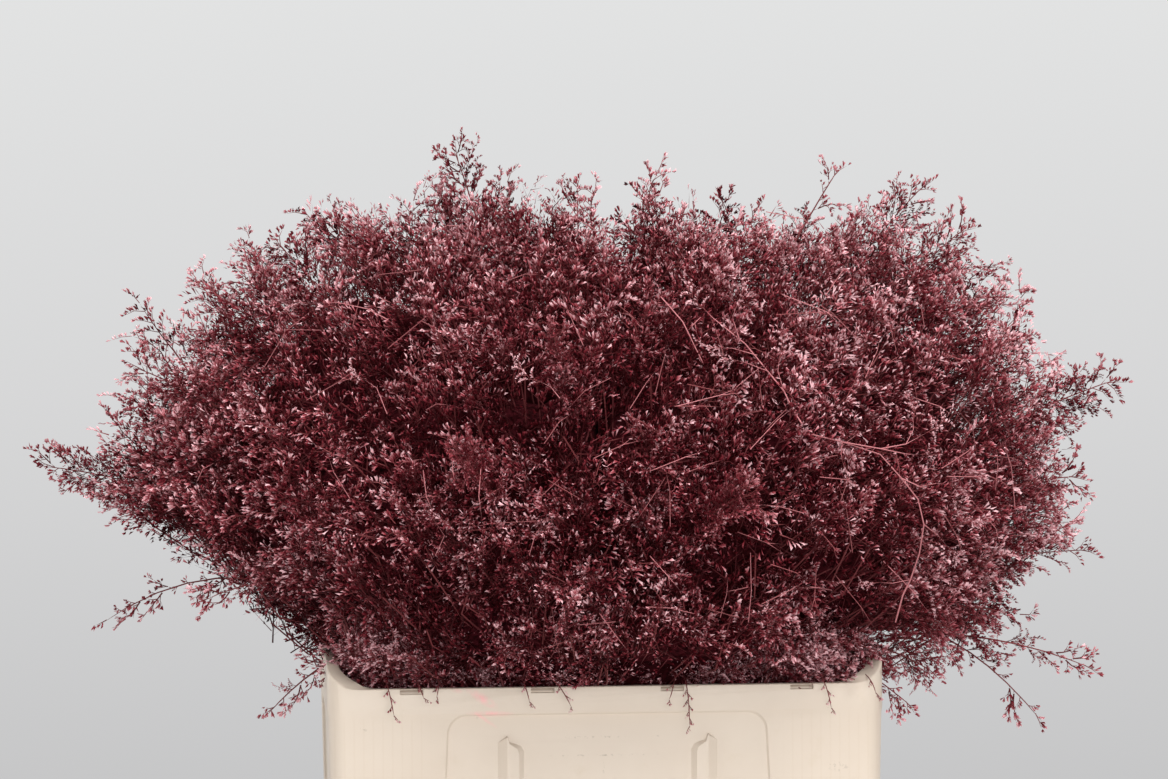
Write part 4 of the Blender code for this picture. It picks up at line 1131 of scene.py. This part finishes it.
def combine(body, others, operation):
    """Joins or cuts a body by others in one Boolean and removes them."""
    group = bpy.data.collections.new("others")
    for other in others:
        group.objects.link(other)
    modifier = body.modifiers.new("combine", "BOOLEAN")
    adjusted(modifier, operand_type="COLLECTION", collection=group, operation=operation, solver="EXACT")
    evaluated(body)
    for other in others:
        bpy.data.objects.remove(other)
    bpy.data.collections.remove(group)


def wall_inset(height):
    """How far the outside of a wall lies inside the rim's outline at this height."""
    return BAND_PROUD + DRAFT * (1 - height / (RIM - BAND_HEIGHT))


def crate_shell():
    inside = WALL + BAND_PROUD
    floor_inset = wall_inset(FLOOR) + WALL
    under_band = RIM - BAND_HEIGHT
    half_round = LIP_ROUND * 0.3
    # Inset from the rim's outline, corner radius, height and rise at the short sides
    loops = (
        (wall_inset(0) + FOOT_CHAMFER, CORNER_RADIUS, 0.0, 0.0),
        (wall_inset(FOOT_CHAMFER), CORNER_RADIUS, FOOT_CHAMFER, 0.0),
        (BAND_PROUD, CORNER_RADIUS, under_band - BAND_TAPER, 0.0),
        (0.0, CORNER_RADIUS, under_band, 0.0),
        (0.0, CORNER_RADIUS, RIM - LIP_ROUND, END_RISE),
        (half_round, CORNER_RADIUS, RIM - half_round, END_RISE),
        (LIP_ROUND, CORNER_RADIUS, RIM, END_RISE),
        (LIP_WIDTH - LIP_ROUND, MOUTH_RADIUS, RIM, END_RISE),
        (LIP_WIDTH - half_round, MOUTH_RADIUS, RIM - half_round, END_RISE),
        (LIP_WIDTH, MOUTH_RADIUS, RIM - LIP_ROUND, END_RISE),
        (inside, MOUTH_RADIUS, RIM - LIP_DEPTH, END_RISE / 2),
        (floor_inset, CORNER_RADIUS, FLOOR + FOOT_CHAMFER, 0.0),
        (floor_inset + FOOT_CHAMFER, CORNER_RADIUS, FLOOR, 0.0),
    )
    return solid_from("crate_body", [
        rim_loop(CRATE_LENGTH / 2 - inset, CRATE_WIDTH / 2 - inset, *rest) for inset, *rest in loops
    ])


def panel_outline(widths):
    """Points (across, height) of a panel that is wider at its foot, with round corners."""
    top, foot = widths[0] / 2, widths[1] / 2
    corners = ((foot, PANEL_FOOT, -90), (top, PANEL_TOP, 0), (-top, PANEL_TOP, 90), (-foot, PANEL_FOOT, 180))
    outline = []
    for across, height, start in corners:
        x = across - math.copysign(PANEL_CORNER, across)
        z = height + (PANEL_CORNER if height == PANEL_FOOT else -PANEL_CORNER)
        for step in range(CORNER_STEPS + 1):
            angle = math.radians(start + 90 * step / CORNER_STEPS)
            outline.append((x + PANEL_CORNER * math.cos(angle), z + PANEL_CORNER * math.sin(angle)))
    return outline


def turned(points, turn):
    """Points (across, depth, height) on the side at -Y, turned about Z to another side."""
    spin = Matrix.Rotation(turn, 3, "Z")
    return [spin @ Vector(point) for point in points]


def panel_cutter(widths, half_depth, turn):
    """The block of air that sinks a panel into a wall."""
    outline = panel_outline(widths)
    middle = sum(z for _, z in outline) / len(outline)
    walls = [wall_inset(z) - half_depth for _, z in outline]
    outer = [(x, -half_depth - CUTTER_REACH, z) for x, z in outline]
    edge = [(x, wall + PANEL_SINK * 0.25, z) for (x, z), wall in zip(outline, walls)]
    sunk = [(x - math.copysign(PANEL_SLOPE, x), wall + PANEL_SINK, z - math.copysign(PANEL_SLOPE, z - middle))
            for (x, z), wall in zip(outline, walls)]
    return solid_from("panel", [turned(points, turn) for points in (outer, edge, sunk)])


def rib(side, turn):
    """One of the two ribs on a long panel that a card slides behind."""
    surface = -CRATE_WIDTH / 2 + PANEL_SINK
    loops = [
        [(side * x, surface + wall_inset(RIM + z) + rise, RIM + z) for x, z in corners]
        for corners, rise in zip(zip(*RIB_CORNERS), (RIB_ROOT, -RIB_HEIGHT))
    ]
    return solid_from("rib", [turned(loop, turn) for loop in loops])


def notch_cutter(centre, side):
    """A small slot in the outer edge of a long side's rim."""
    width, depth, height = NOTCH_SIZE
    outside = side * (CRATE_WIDTH / 2 + CUTTER_REACH)
    inside = side * (CRATE_WIDTH / 2 - depth)
    corners = ((-width / 2, outside), (width / 2, outside), (width / 2, inside), (-width / 2, inside))
    heights = (RIM - height - NOTCH_DROP, RIM - NOTCH_DROP)
    return solid_from("notch", [[(centre + x, y, z) for x, y in corners] for z in heights])


def make_crate(plastic):
    body = crate_shell()
    half_turns, quarter_turns = (0.0, math.pi), (math.pi / 2, -math.pi / 2)
    cutters = [panel_cutter(LONG_PANEL_WIDTHS, CRATE_WIDTH / 2, turn) for turn in half_turns]
    cutters += [panel_cutter(SHORT_PANEL_WIDTHS, CRATE_LENGTH / 2, turn) for turn in quarter_turns]
    cutters += [notch_cutter(centre, side) for centre in NOTCH_CENTRES for side in (-1, 1)]
    combine(body, cutters, "DIFFERENCE")
    combine(body, [rib(side, turn) for side in (-1, 1) for turn in half_turns], "UNION")
    bevel = body.modifiers.new("soft_edges", "BEVEL")
    adjusted(bevel, width=EDGE_ROUND, segments=EDGE_SEGMENTS, limit_method="ANGLE", angle_limit=ROUND_FROM)
    bevel.use_clamp_overlap = True
    evaluated(body)
    body.data.set_sharp_from_angle(angle=SHARP_FROM)
    body.data.polygons.foreach_set("use_smooth", [True] * len(body.data.polygons))
    body.data.materials.clear()
    body.data.materials.append(plastic)
    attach(body, "root")
    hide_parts("crate")


add_camera()
add_stage()
grow_heads((floret_material(), twig_material(), shade_core_material()))
make_crate(crate_material())
elastic, *_ = new_material("tan_elastic", 0.6, colour=ELASTIC)
for node_name, node_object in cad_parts.items():
    if node_name.startswith("band_"):
        node_object.data.materials.clear()
        node_object.data.materials.append(elastic)
